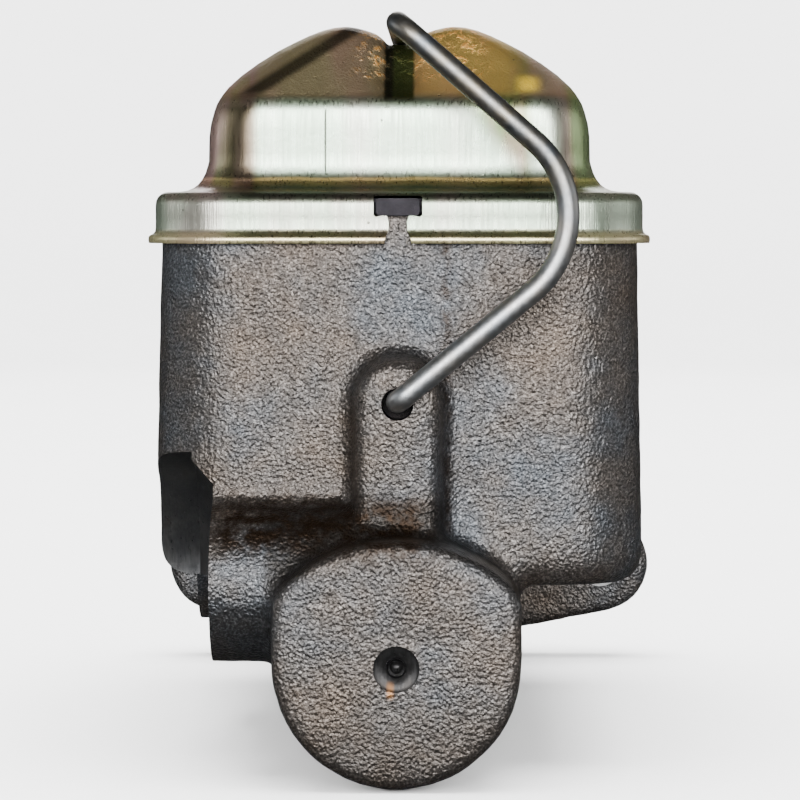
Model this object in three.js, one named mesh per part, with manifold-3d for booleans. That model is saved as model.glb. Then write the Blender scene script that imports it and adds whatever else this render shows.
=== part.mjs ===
// Tandem brake master cylinder: an iron casting with a two-chamber reservoir over the bore, a domed
// sheet-steel cover held by a sprung wire bail, a rubber diaphragm, and two pistons with their cups,
// springs, stops and outlet fittings.
// Millimetres, +Z up. The origin is on the bore's axis, in the plane of the mounting flange's rear
// face. +Y points to the rear, where the push rod comes in, and the closed end of the barrel is at -Y.
import * as THREE from "three";
import { mergeVertices } from "three/addons/utils/BufferGeometryUtils.js";
import Module from "manifold-3d";

const wasm = await Module();
wasm.setup();

// ---- Driving dimensions ----

const GAP = 0.3; // between pieces that touch
const RUN = 0.15; // radial clearance of what slides in the bore
const SIDES = 24; // sides of a full round
const WIRE_SIDES = 8;

const BORE_R = 12.7;
const BORE_WALL = 10; // iron left in front of the bore
const BARREL_WALL = 9;
const BARREL_Z = 0.5; // the barrel's outside sits a little high on the bore
const BARREL_LENGTH = 200;
const BARREL_ROUND = 2;
const BARREL_CROWN = { rise: 9, r: 29, corner: 3 }; // the low arch over the barrel, above the bore
const CENTRE_DRILL = { coneR: 3.7, pilotR: 1.4, coneDepth: 2.3, pilotDepth: 4 };

const FLANGE_THICK = 12;
const EAR_X = 42.87; // half the spacing of the two stud holes
const EAR_R = 10.9;
const STUD_HOLE_R = 5.15;
const NOSE_WALL = 6.3; // iron round the bore in the nose and the flange's hub
const NOSE_LENGTH = 9.5;
const NOSE_GROOVE = { from: 3.6, to: 6.2, depth: 1.2 };

const TANK_AHEAD = 20; // barrel in front of the reservoir's front wall
const TANK_REAR = -38;
const TANK_HALF_LOW = 43.6;
const TANK_DRAFT = 1.2; // how much narrower each side is at the rim
const TANK_CORNER = 14;
const TANK_LOW = 12;
const TANK_LOW_ROUND = 5;
const TANK_RIM = 77.7;
const TANK_WALL = 4.5;
const TANK_FLOOR = 4.8; // iron between the bore and the chambers' floor
const DIVIDER = 5;
const CHAMBER_CORNER = 9;
const CHAMBER_LOW_ROUND = 4;

const PIVOT_Z = 45.3; // bail pivot holes
const PIVOT_PLAY = 0.85; // between the wire and its pivot hole
const PIVOT_DROP = 0.45; // the sprung wire rides high in its hole
const PIVOT_DEPTH = 7.5;
const RIB_HALF = 6.8;
const RIB_SPREAD = 2.2; // how much wider each side of a rib is at the reservoir wall
const RIB_STAND = 7;

const OUTLET_Z = 12.9;
const BOSS_R = 14.1;
const RELIEF_MARGIN = 3.4; // round clearance cut beside each outlet face
const WIDE_RELIEF_MARGIN = 8.9;
const WIDE_RELIEF_INSET = 7; // from the reservoir's side
const FRONT_FACE_INSET = 10.9;
const REAR_FACE_INSET = 4;
const FRONT_OUTLET_BACK = 11.5; // behind the bore's closed end
const REAR_OUTLET_AHEAD = 1; // in front of the divider's middle
const FRONT_PORT_R = 5.6;
const REAR_PORT_R = 6.6;
const PORT_DEPTH = 12;
const SEAT_R = 4.2;
const SEAT_PRESS = 3.5; // length of the tube seat that is pressed in
const VALVE_CHAMBER = 8.6; // behind the rear tube seat, for the residual valve
const PASSAGE_R = 1.5;
const REAR_PASSAGE_LEAD = 4.5; // how far the rear passage slants to the rear

const SHEET = 0.9;
const SKIRT_PLAY = 0.5; // between the rim and the cover's skirt
const COVER_SHOULDER = 1.8;
const SKIRT_DROP = 9.2;
const LIP_RISE = 2.2; // height of the flared lip
const LIP_FLARE = 1.3;
const DOME_SIDE_BACK = 7.8; // dome wall inside the reservoir's wall, at the sides
const DOME_END_BACK = 9; // and at the ends
const DOME_CORNER = 20;
const DOME_WALL = 15.5; // height of the dome's upright wall, above the flat rim
const DOME_LEAN = 12.5;
const DOME_HEIGHT = 30.5;
const VALLEY_DEPTH = 3.5;
const SLOT_HALF = 1.8;
const SLOT_CLEAR = 0.5; // round the gasket's tab

const GASKET_THICK = 2.8;
const GASKET_WALL = 1.6;
const BELLOWS_DEPTH = 14;
const BELLOWS_CLEAR = 2;
const TAB_HALF = 3.8;
const TAB_STAND = 0.9; // how far the tab sticks out of the skirt

const WIRE_R = 1.985;
const WIRE_OUT = 2.5; // wire centre in front of a rib's face
const WIRE_BEND = 17.1;
const WIRE_ELBOW = { x: 39.07, rise: 32 }; // where the bail's two straights would meet, above the pivot
const WIRE_SMALL_BEND = 4.5;

const WAIST_STEP = 4; // how much thinner a piston's waist is than its lands
const STUB_STEP = 2.05; // how much thinner the stub in front is than the waist
const CUP_LENGTH = 6;
const GROOVE_CUP_LENGTH = 4.2;
const CUP_WALL = 1.7;
const WASHER = 0.8;
const PLATE_PLAY = 2.1; // between a spring's seat plate and the bore

const STOP_WASHER = 1.5;
const RING_THICK = 1.6;
const RING_GROOVE = 1.4; // depth of the snap ring's groove
const MOUTH_STEP = 1.6; // how much wider the bore's mouth is
const MOUTH_DEPTH = 8;
const TAIL_STEP = 3.5; // how much thinner the primary piston's tail is than the bore
const TAIL_LENGTH = 7;
const SOCKET_WALL = 2.6; // metal round the push rod's socket
const SOCKET_DEPTH = 30;

const PRIMARY_LAND = 2.8;
const PRIMARY_SEAL_Y = -4;
const PRIMARY_WAIST_REAR = -12;
const PRIMARY_WAIST_FRONT = -51;
const FRONT_LAND = 4;
const SPRING_WIRE_R = 1.1;
const PRIMARY_TURNS = 8.5;
const SECONDARY_TURNS = 7.5;
const SCREW = { shankR: 1.9, headR: 3.6, head: 2, thread: 7 };
const CAGE = { r: 5.6, sheet: 0.9, length: 18.5 };

const SECONDARY_LAND = 1.3;
const SECONDARY_LENGTH = 34.3; // from the secondary piston's rear face to its front land

const FEED_R = 1.8;
const COMP_R = 0.5;
const REAR_FEED_IN = 4.3; // from the rear chamber's wall
const FRONT_FEED_BACK = 7.5; // behind the secondary piston's front land
const FRONT_FEED_X = 7; // beside the stop screw
const STOP_SCREW = { tipR: 1.8, shankR: 2.5, headR: 4.6, head: 4 };
const STOP_SEAL = 1;
const VALVE = { r: 3.4, length: 3.2, rim: 1 };
const VALVE_SPRING = { meanR: 2.9, wireR: 0.3, turns: 5 };

// ---- Derived places ----

const barrelFront = -BARREL_LENGTH;
const boreFront = barrelFront + BORE_WALL;
const tankFront = barrelFront + TANK_AHEAD;
const tankMid = (tankFront + TANK_REAR) / 2;
const tankHalfLength = (TANK_REAR - tankFront) / 2;
const tankHalfTop = TANK_HALF_LOW - TANK_DRAFT;
const chamberFloor = BORE_R + TANK_FLOOR;
const pistonR = BORE_R - RUN;
const waistR = pistonR - WAIST_STEP;
const plateR = BORE_R - PLATE_PLAY;
const stubR = waistR - STUB_STEP;
const barrelR = BORE_R + BARREL_WALL;
const noseR = BORE_R + NOSE_WALL;
const mouthR = BORE_R + MOUTH_STEP;
const tailR = BORE_R - TAIL_STEP;
const springMeanR = plateR - SPRING_WIRE_R - GAP;
const secondaryRear = tankMid - GAP;
const secondaryWaistFront = secondaryRear - SECONDARY_LENGTH;

const gasketLow = TANK_RIM + GAP;
const gasketTop = gasketLow + GASKET_THICK;
const coverInnerTop = gasketTop + GAP;
const coverTop = coverInnerTop + SHEET;
const lipLow = coverTop - SKIRT_DROP;
const domeTop = coverTop + DOME_HEIGHT;
const domeHalf = tankHalfTop - DOME_SIDE_BACK;
const valleyZ = domeTop - VALLEY_DEPTH;
const wireTopZ = valleyZ + GAP + WIRE_R;
const skirtInset = -(SKIRT_PLAY + SHEET); // the skirt's outside, measured in from the rim

const frontOutlet = {
  y: boreFront + FRONT_OUTLET_BACK, face: FRONT_FACE_INSET - TANK_HALF_LOW, portR: FRONT_PORT_R,
  chamber: SEAT_PRESS + GAP, lead: 0,
};
const rearOutlet = {
  y: tankMid - REAR_OUTLET_AHEAD, face: REAR_FACE_INSET - TANK_HALF_LOW, portR: REAR_PORT_R,
  chamber: SEAT_PRESS + GAP + VALVE_CHAMBER, lead: REAR_PASSAGE_LEAD,
};
const reliefR = BOSS_R + RELIEF_MARGIN;
const wideRelief = [BOSS_R + WIDE_RELIEF_MARGIN, WIDE_RELIEF_INSET - TANK_HALF_LOW];
const frontReliefs = [[reliefR, frontOutlet.face], wideRelief];
const rearReliefs = [[reliefR, rearOutlet.face]];

// ---- Solids from three.js geometry ----

function solid(geometry) {
  const bare = new THREE.BufferGeometry();
  bare.setAttribute("position", geometry.getAttribute("position"));
  bare.setIndex(geometry.index);
  const merged = mergeVertices(bare, 1e-4);
  const vertProperties = new Float32Array(merged.attributes.position.array);
  const index = merged.index.array;
  const corners = [];
  for (let i = 0; i < index.length; i += 3) {
    const [a, b, c] = index.slice(i, i + 3);
    if (a !== b && b !== c && c !== a) corners.push(a, b, c);
  }
  const build = (list) =>
    new wasm.Manifold(new wasm.Mesh({ numProp: 3, vertProperties, triVerts: new Uint32Array(list) }));
  const made = build(corners);
  return made.volume() > 0 ? made : build(corners.reverse());
}

function joined(...pieces) {
  return pieces.reduce((whole, piece) => whole.add(piece));
}

function cut(from, ...tools) {
  return tools.reduce((whole, tool) => whole.subtract(tool), from);
}

function block(low, high) {
  const size = high.map((value, i) => value - low[i]);
  const geometry = new THREE.BoxGeometry(...size);
  geometry.translate(...low.map((value, i) => value + size[i] / 2));
  return solid(geometry);
}

// A geometry made along +Y is laid along the named axis.
function lay(geometry, axis) {
  if (axis === "x") geometry.rotateZ(-Math.PI / 2);
  if (axis === "z") geometry.rotateX(Math.PI / 2);
  return geometry;
}

function rod(axis, r, from, to, at = [0, 0, 0], sides = SIDES) {
  const geometry = new THREE.CylinderGeometry(r, r, to - from, sides);
  geometry.translate(0, (from + to) / 2, 0);
  lay(geometry, axis).translate(...at);
  return solid(geometry);
}

// A [radius, height] profile turned about the named axis; it closes on itself or ends on the axis.
function turned(profile, axis = "y", at = [0, 0, 0], sides = SIDES) {
  const onAxis = profile[0][0] === 0;
  const loop = onAxis ? profile : [...profile, profile[0]];
  const geometry = new THREE.LatheGeometry(loop.map(([r, h]) => new THREE.Vector2(r, h)), sides);
  lay(geometry, axis).translate(...at);
  return solid(geometry);
}

// A flat ring about the bore, its profile given by two radii and two ends.
function ring(innerR, outerR, from, to) {
  return turned([[innerR, from], [outerR, from], [outerR, to], [innerR, to]]);
}

// An outline in the plane across the axis, drawn in the other two frame axes in order, made thick.
function prism(outline, axis, from, to) {
  const shape = new THREE.Shape(outline.map(([u, v]) => new THREE.Vector2(u, v)));
  const geometry = new THREE.ExtrudeGeometry(shape, { depth: to - from, bevelEnabled: false });
  if (axis === "y") geometry.rotateX(Math.PI / 2).translate(0, to, 0);
  if (axis === "x") geometry.rotateX(Math.PI / 2).rotateZ(Math.PI / 2).translate(from, 0, 0);
  if (axis === "z") geometry.translate(0, 0, from);
  return solid(geometry);
}

function arc(centre, r, startDeg, endDeg, steps) {
  return Array.from({ length: steps + 1 }, (_, i) => {
    const angle = THREE.MathUtils.degToRad(startDeg + ((endDeg - startDeg) * i) / steps);
    return [centre[0] + r * Math.cos(angle), centre[1] + r * Math.sin(angle)];
  });
}

function roundedRectangle(low, high, corner, steps = 4) {
  const [x0, y0] = low.map((value) => value + corner);
  const [x1, y1] = high.map((value) => value - corner);
  return [
    ...arc([x1, y1], corner, 0, 90, steps),
    ...arc([x0, y1], corner, 90, 180, steps),
    ...arc([x0, y0], corner, 180, 270, steps),
    ...arc([x1, y0], corner, 270, 360, steps),
  ];
}

// A skin over rings of equally many [x, y, z] points, closed by a fan at each end.
function loft(rings) {
  const count = rings[0].length;
  const points = rings.flat();
  const index = [];
  const end = (ringPoints, start) => {
    const sum = ringPoints.reduce((s, p) => s.map((value, i) => value + p[i]), [0, 0, 0]);
    points.push(sum.map((value) => value / count));
    const hub = points.length - 1;
    for (let i = 0; i < count; i++) index.push([hub, start + i, start + ((i + 1) % count)]);
  };
  end(rings[0], 0);
  index.forEach((face) => face.reverse());
  end(rings.at(-1), (rings.length - 1) * count);
  for (let k = 0; k < rings.length - 1; k++)
    for (let i = 0; i < count; i++) {
      const [a, b] = [k * count + i, k * count + ((i + 1) % count)];
      index.push([a, b, b + count], [a, b + count, a + count]);
    }
  const geometry = new THREE.BufferGeometry();
  geometry.setAttribute("position", new THREE.Float32BufferAttribute(points.flat(), 3));
  geometry.setIndex(index.flat());
  return solid(geometry);
}

// A wire's round section, the shape that is swept along its path.
function wireSection(r, sides) {
  const corners = arc([0, 0], r, 0, 360 - 360 / sides, sides - 1);
  return new THREE.Shape(corners.map((corner) => new THREE.Vector2(...corner)));
}

function sweep(path, r, sides, steps) {
  const options = { steps, extrudePath: path, bevelEnabled: false };
  return solid(new THREE.ExtrudeGeometry(wireSection(r, sides), options));
}

// A compression spring about an axis along Y, with one closed turn at each end.
class Coil extends THREE.Curve {
  constructor(meanR, wireR, from, to, turns) {
    super();
    Object.assign(this, { meanR, wireR, from: from + wireR, to: to - wireR, turns });
  }
  getPoint(t) {
    const turn = t * this.turns;
    const dead = 2.2 * this.wireR; // pitch of a closed turn
    const active = (this.to - this.from - 2 * dead) / (this.turns - 2);
    const rise = Math.min(turn, 1) * dead
      + Math.max(0, Math.min(turn, this.turns - 1) - 1) * active
      + Math.max(0, turn - this.turns + 1) * dead;
    const angle = 2 * Math.PI * turn;
    const [x, z] = [this.meanR * Math.cos(angle), this.meanR * Math.sin(angle)];
    return new THREE.Vector3(x, this.from + rise, z);
  }
}

// The round part of a bend, between two tangent points about a centre.
class Bend extends THREE.Curve {
  constructor(start, end, centre) {
    super();
    Object.assign(this, { start, end, centre });
  }
  getPoint(t) {
    const [from, to] = [this.start.clone().sub(this.centre), this.end.clone().sub(this.centre)];
    const angle = from.angleTo(to);
    from.multiplyScalar(Math.sin((1 - t) * angle) / Math.sin(angle));
    to.multiplyScalar(Math.sin(t * angle) / Math.sin(angle));
    return from.add(to).add(this.centre);
  }
}

// Straights between corner points, each inner corner bent to its own radius.
function bentPath(corners) {
  const path = new THREE.CurvePath();
  const points = corners.map(({ at }) => new THREE.Vector3(...at));
  let last = points[0];
  for (let i = 1; i < points.length - 1; i++) {
    const back = points[i - 1].clone().sub(points[i]).normalize();
    const on = points[i + 1].clone().sub(points[i]).normalize();
    const half = back.angleTo(on) / 2;
    const reach = corners[i].bend / Math.tan(half);
    const start = points[i].clone().addScaledVector(back, reach);
    const end = points[i].clone().addScaledVector(on, reach);
    const middle = back.clone().add(on).normalize();
    const centre = points[i].clone().addScaledVector(middle, corners[i].bend / Math.sin(half));
    path.add(new THREE.LineCurve3(last, start));
    path.add(new Bend(start, end, centre));
    last = end;
  }
  path.add(new THREE.LineCurve3(last, points.at(-1)));
  return path;
}

// ---- The casting ----

// The reservoir's outline, drawn in by an inset, at the low end (0) or the rim (1) of its draft.
function tankOutline(inset, rise, z) {
  const narrow = inset + TANK_DRAFT * rise;
  const halfX = TANK_HALF_LOW - narrow;
  const halfY = tankHalfLength - narrow;
  const corner = Math.max(TANK_CORNER - narrow, 1);
  const low = [-halfX, tankMid - halfY];
  const high = [halfX, tankMid + halfY];
  return roundedRectangle(low, high, corner).map(([x, y]) => [x, y, z]);
}

// The rim's outline drawn in, or out with a negative inset.
function rimOutline(inset, z) {
  return tankOutline(inset, 1, z);
}

function tankBlock() {
  const lowRound = [0, 30, 60, 90].map((degrees) => {
    const angle = THREE.MathUtils.degToRad(degrees);
    const inset = TANK_LOW_ROUND * (1 - Math.sin(angle));
    return tankOutline(inset, 0, TANK_LOW + TANK_LOW_ROUND * (1 - Math.cos(angle)));
  });
  return loft([...lowRound, tankOutline(0, 1, TANK_RIM)]);
}

// Front and rear chambers, as [front, rear] places of their walls at the rim.
const chambers = {
  front: [tankFront + TANK_WALL, tankMid - DIVIDER / 2],
  rear: [tankMid + DIVIDER / 2, TANK_REAR - TANK_WALL],
};

function chamberOutline([front, rear], inset, z) {
  const halfX = tankHalfTop - TANK_WALL - inset;
  const corner = Math.max(CHAMBER_CORNER - inset, 1);
  const outline = roundedRectangle([-halfX, front + inset], [halfX, rear - inset], corner);
  return outline.map(([x, y]) => [x, y, z]);
}

function chamberSpace(ends) {
  return loft([
    chamberOutline(ends, CHAMBER_LOW_ROUND, chamberFloor),
    chamberOutline(ends, CHAMBER_LOW_ROUND * 0.3, chamberFloor + CHAMBER_LOW_ROUND * 0.3),
    chamberOutline(ends, 0, chamberFloor + CHAMBER_LOW_ROUND),
    chamberOutline(ends, 0, TANK_RIM + 1),
  ]);
}

// Iron kept round an outlet's port and its relief cuts where they meet the chambers.
function outletPad({ y, face, portR, chamber }, reliefs) {
  const at = [0, y, OUTLET_Z];
  const innerEnd = face + PORT_DEPTH + chamber + TANK_WALL;
  const pads = reliefs.map(([r, x]) => rod("x", r + TANK_WALL, -TANK_HALF_LOW, x + TANK_WALL, at));
  return joined(rod("x", portR + TANK_WALL, -TANK_HALF_LOW, innerEnd, at), ...pads);
}

// The barrel across the bore: a half round below, upright sides, and a low arch on top.
function barrelOutline(inset, y) {
  const half = barrelR - inset;
  const { rise, r, corner } = BARREL_CROWN;
  const lean = THREE.MathUtils.radToDeg(Math.asin((half - corner) / r));
  const crown = arc([0, BORE_R + rise - inset - r], r, 90 - lean, 90 + lean, 8);
  const shoulder = crown[0][1] - corner;
  const outline = [...arc([0, BARREL_Z], half, 180, 360, 14), [half, shoulder], ...crown, [-half, shoulder]];
  return outline.map(([x, z]) => [x, y, z]);
}

function barrel() {
  const front = arc([BARREL_ROUND, barrelFront + BARREL_ROUND], BARREL_ROUND, 270, 180, 3);
  return loft([...front, [0, 0]].map(([inset, y]) => barrelOutline(inset, y)));
}

function flange() {
  const lean = THREE.MathUtils.radToDeg(Math.acos((noseR - EAR_R) / EAR_X));
  const outline = [
    ...arc([EAR_X, 0], EAR_R, -lean, lean, 10),
    ...arc([0, 0], noseR, lean, 180 - lean, 4),
    ...arc([-EAR_X, 0], EAR_R, 180 - lean, 180 + lean, 10),
    ...arc([0, 0], noseR, 180 + lean, 360 - lean, 4),
  ];
  return prism(outline, "y", -FLANGE_THICK, 0);
}

// A rib for the bail's pivot, round-topped about the pivot and running down into the barrel.
function ribOutline(half, y) {
  return [...arc([0, PIVOT_Z], half, 0, 180, 12), [-half, 0], [half, 0]].map(([x, z]) => [x, y, z]);
}

function rib(wall, outward) {
  const root = wall - outward * TANK_WALL / 2;
  const rings = [ribOutline(RIB_HALF + RIB_SPREAD, root), ribOutline(RIB_HALF, wall + outward * RIB_STAND)];
  return loft(outward < 0 ? rings.reverse() : rings);
}

function pivotHole(wall, outward) {
  const face = wall + outward * RIB_STAND;
  const ends = [face - outward * PIVOT_DEPTH, face + outward].sort((a, b) => a - b);
  return rod("y", WIRE_R + PIVOT_PLAY, ...ends, [0, 0, PIVOT_Z - PIVOT_DROP], 16);
}

// Port, seat recess and the slanting drill from the recess down into the bore.
function outletBore({ y, face, portR, chamber, lead }) {
  const at = [0, y, OUTLET_Z];
  const shoulder = face + PORT_DEPTH;
  const recessEnd = shoulder + chamber;
  const start = new THREE.Vector3(recessEnd - 1, y, OUTLET_Z);
  const end = new THREE.Vector3(-BORE_R * 0.6, y + lead, BORE_R * 0.5);
  const drill = new THREE.CylinderGeometry(PASSAGE_R, PASSAGE_R, start.distanceTo(end), 12);
  const turn = new THREE.Quaternion();
  turn.setFromUnitVectors(new THREE.Vector3(0, 1, 0), end.clone().sub(start).normalize());
  drill.applyQuaternion(turn).translate(...start.add(end).divideScalar(2));
  return joined(
    rod("x", portR, face - 1, shoulder, at),
    rod("x", SEAT_R + GAP, shoulder - 1, recessEnd, at),
    solid(drill),
  );
}

// Where the stop screw stands: its tip meets the rear of the secondary piston's front land.
const stopScrewY = secondaryWaistFront + GAP + STOP_SCREW.tipR;

function reliefCuts({ y }, reliefs) {
  return reliefs.map(([r, x]) => rod("x", r, -TANK_HALF_LOW - 5, x, [0, y, OUTLET_Z], SIDES));
}

const snapFront = NOSE_LENGTH - MOUTH_DEPTH + GAP + STOP_WASHER + GAP; // front face of the snap ring
const primaryFront = PRIMARY_WAIST_FRONT - FRONT_LAND;
const secondaryFront = secondaryWaistFront - FRONT_LAND;
const cupEnd = (landFront) => landFront - 2 * GAP - WASHER - CUP_LENGTH;

function boreSpace() {
  const drill = CENTRE_DRILL;
  const ringR = mouthR + RING_GROOVE;
  return joined(
    rod("y", BORE_R, boreFront, NOSE_LENGTH + 1),
    rod("y", mouthR, NOSE_LENGTH - MOUTH_DEPTH, NOSE_LENGTH + 1),
    rod("y", ringR, snapFront - GAP, snapFront + RING_THICK + GAP),
    turned([
      [0, barrelFront - 1], [drill.coneR, barrelFront - 1], [drill.coneR, barrelFront],
      [drill.pilotR, barrelFront + drill.coneDepth], [drill.pilotR, barrelFront + drill.pilotDepth],
      [0, barrelFront + drill.pilotDepth + drill.pilotR],
    ], "y", [0, 0, 0], 16),
  );
}

function reservoirPorts() {
  const down = (r, x, y) => rod("z", r, BORE_R / 2, chamberFloor + 1, [x, y, 0], 10);
  return joined(
    down(FEED_R, 0, TANK_REAR - TANK_WALL - REAR_FEED_IN),
    down(COMP_R, 0, cupEnd(primaryFront) - 3 * COMP_R),
    down(FEED_R, FRONT_FEED_X, secondaryWaistFront + FRONT_FEED_BACK),
    down(COMP_R, 0, cupEnd(secondaryFront) - 3 * COMP_R),
    down(STOP_SCREW.shankR + GAP, 0, stopScrewY),
  );
}

function casting() {
  const nose = turned([
    [0, -1], [noseR, -1], [noseR, NOSE_GROOVE.from], [noseR - NOSE_GROOVE.depth, NOSE_GROOVE.from],
    [noseR - NOSE_GROOVE.depth, NOSE_GROOVE.to], [noseR, NOSE_GROOVE.to], [noseR, NOSE_LENGTH],
    [0, NOSE_LENGTH],
  ]);
  const boss = ({ y, face }) => rod("x", BOSS_R, face, 0, [0, y, OUTLET_Z]);
  const reliefs = [...reliefCuts(frontOutlet, frontReliefs), ...reliefCuts(rearOutlet, rearReliefs)];
  const outside = joined(
    cut(joined(barrel(), tankBlock()), ...reliefs),
    nose, flange(), rib(tankFront, -1), rib(TANK_REAR, 1), boss(frontOutlet), boss(rearOutlet),
  );
  const hollow = cut(
    joined(chamberSpace(chambers.front), chamberSpace(chambers.rear)),
    outletPad(frontOutlet, frontReliefs), outletPad(rearOutlet, rearReliefs),
  );
  const studHole = (x) => rod("y", STUD_HOLE_R, -FLANGE_THICK - 1, 1, [x, 0, 0]);
  return cut(
    outside, hollow, boreSpace(), reservoirPorts(), outletBore(frontOutlet), outletBore(rearOutlet),
    pivotHole(tankFront, -1), pivotHole(TANK_REAR, 1), studHole(EAR_X), studHole(-EAR_X),
  );
}

// ---- Cover, diaphragm and bail ----

// The dome across the cylinder: two low humps with the bail's valley between them.
function domeAcross(inset) {
  const crown = domeTop - inset;
  const rounding = [
    [1, 21], [0.97, 15.4], [0.9, 11.4], [0.75, 6.9], [0.59, 3.7], [0.44, 1.2], [0.32, 0.1], [0.235, 0.5],
  ];
  const side = [
    [domeHalf - inset, coverTop - 2 * SHEET],
    ...rounding.map(([share, drop]) => [share * (domeHalf - inset), crown - drop]),
    [2.7 * WIRE_R, crown - VALLEY_DEPTH * 0.45], [WIRE_R + GAP, crown - VALLEY_DEPTH],
  ];
  const mirrored = side.map(([x, z]) => [-x, z]).reverse();
  return prism([...side, ...mirrored], "y", tankFront, TANK_REAR);
}

// The dome seen from the side: upright end walls that lean back to the top.
function domeAlong(inset) {
  const front = tankFront + DOME_END_BACK + inset;
  const rear = TANK_REAR - DOME_END_BACK - inset;
  const top = coverTop + DOME_WALL - 0.4 * inset;
  const rise = DOME_LEAN * 1.2;
  const outline = [
    [front, coverTop - 2 * SHEET], [rear, coverTop - 2 * SHEET], [rear, top - 1.5], [rear - 1, top],
    [rear - DOME_LEAN, top + rise], [front + DOME_LEAN, top + rise], [front + 1, top], [front, top - 1.5],
  ];
  return prism(outline, "x", -domeHalf - 1, domeHalf + 1);
}

function domePlan(inset) {
  const half = domeHalf - inset;
  const low = [-half, tankFront + DOME_END_BACK + inset];
  const high = [half, TANK_REAR - DOME_END_BACK - inset];
  return prism(roundedRectangle(low, high, DOME_CORNER - inset), "z", coverTop - 2 * SHEET, domeTop + 1);
}

function dome(inset) {
  return domeAcross(inset).intersect(domeAlong(inset)).intersect(domePlan(inset));
}

// The cover's flat rim and skirt as a solid, its surface drawn in by an inset.
function coverSkirt(inset, low) {
  const at = (out, z) => rimOutline(skirtInset + inset - out, z);
  const top = coverTop - inset;
  const shoulder = COVER_SHOULDER - inset;
  return loft([
    at(LIP_FLARE, low), at(LIP_FLARE * 0.85, lipLow + 0.7), at(0, lipLow + LIP_RISE), at(0, top - shoulder),
    at(-shoulder * 0.3, top - shoulder * 0.3), at(-shoulder, top),
  ]);
}

function keyhole(y) {
  const [front, rear] = [y - 4, y + 4];
  const slit = block([-SLOT_HALF, front, lipLow - 1], [SLOT_HALF, rear, gasketLow]);
  const half = TAB_HALF + SLOT_CLEAR;
  return joined(slit, block([-half, front, gasketLow - SLOT_CLEAR], [half, rear, coverInnerTop]));
}

function coverShell() {
  const outside = joined(coverSkirt(0, lipLow), dome(0));
  const inside = joined(coverSkirt(SHEET, lipLow - 1), dome(SHEET));
  return cut(outside, inside, keyhole(tankFront), keyhole(TANK_REAR));
}

function diaphragm() {
  const flat = loft([rimOutline(0.2, gasketLow), rimOutline(0.2, gasketTop)]);
  const bellows = (ends, inset, low, high) => loft([
    chamberOutline(ends, inset + 2, low), chamberOutline(ends, inset, low + 5), chamberOutline(ends, inset, high),
  ]);
  const low = gasketLow - BELLOWS_DEPTH;
  const hung = Object.values(chambers).map((ends) => bellows(ends, BELLOWS_CLEAR, low, gasketTop));
  const inner = BELLOWS_CLEAR + GASKET_WALL;
  const pockets = Object.values(chambers).map((ends) => bellows(ends, inner, low + GASKET_WALL, gasketTop + 1));
  const reach = -skirtInset + TAB_STAND;
  const tabs = block(
    [-TAB_HALF, tankFront + TANK_DRAFT - reach, gasketLow],
    [TAB_HALF, TANK_REAR - TANK_DRAFT + reach, gasketTop],
  );
  return cut(joined(flat, ...hung, tabs), ...pockets);
}

// One end of the bail, from its tip in a pivot hole up to the corner over the cover.
function bailLeg(wall, outward) {
  const face = wall + outward * RIB_STAND;
  const y = face + outward * WIRE_OUT;
  const tip = face - outward * (PIVOT_DEPTH - 2 * GAP);
  return [
    { at: [0, tip, PIVOT_Z] },
    { at: [0, y, PIVOT_Z], bend: WIRE_SMALL_BEND / 2 },
    { at: [WIRE_ELBOW.x, y, PIVOT_Z + WIRE_ELBOW.rise], bend: WIRE_BEND },
    { at: [0, y, wireTopZ], bend: WIRE_SMALL_BEND },
  ];
}

function bail() {
  const corners = [...bailLeg(tankFront, -1), ...bailLeg(TANK_REAR, 1).reverse()];
  return sweep(bentPath(corners), WIRE_R, WIRE_SIDES, 90);
}

// ---- What is in the bore ----

// A rubber cup on a stem, from its back face to its lip; its lips open towards the lip end.
function cup(stemR, back, lip) {
  const way = Math.sign(lip - back);
  const web = back + way * CUP_WALL;
  const mid = (stemR + pistonR) / 2;
  const inner = stemR + GAP;
  return turned([
    [inner, back], [pistonR - 0.6, back], [pistonR - 0.2, web], [pistonR, lip], [pistonR - CUP_WALL * 0.7, lip],
    [mid + 0.6, web + way * 0.6], [mid - 0.6, web + way * 0.6], [inner + CUP_WALL * 0.5, lip], [inner, lip],
  ]);
}

function primaryPiston() {
  const shoulder = NOSE_LENGTH - MOUTH_DEPTH;
  const sealFront = PRIMARY_SEAL_Y - GROOVE_CUP_LENGTH - 2 * GAP;
  const waist = [PRIMARY_WAIST_REAR, PRIMARY_WAIST_FRONT];
  const socketR = tailR - SOCKET_WALL;
  const socketFloor = shoulder + TAIL_LENGTH - SOCKET_DEPTH;
  const stubEnd = cupEnd(primaryFront) - 2 * GAP - WASHER;
  const body = turned([
    [0, shoulder + TAIL_LENGTH], [tailR, shoulder + TAIL_LENGTH], [tailR, shoulder], [pistonR, shoulder],
    [pistonR, PRIMARY_SEAL_Y], [waistR, PRIMARY_SEAL_Y], [waistR, sealFront], [pistonR, sealFront],
    [pistonR, waist[0]], [waistR, waist[0] - PRIMARY_LAND], [waistR, waist[1] + 2],
    [pistonR, waist[1]], [pistonR, primaryFront], [stubR, primaryFront], [stubR, stubEnd], [0, stubEnd],
  ]);
  const socket = turned([
    [0, shoulder + TAIL_LENGTH + 1], [socketR, shoulder + TAIL_LENGTH + 1],
    [socketR, socketFloor + socketR * 0.6],
    [socketR * 0.75, socketFloor + socketR * 0.25], [0, socketFloor],
  ]);
  const screwHole = rod("y", SCREW.shankR + GAP, stubEnd - 1, stubEnd + SCREW.thread + 1, [0, 0, 0], 16);
  return cut(body, socket, screwHole);
}

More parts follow.
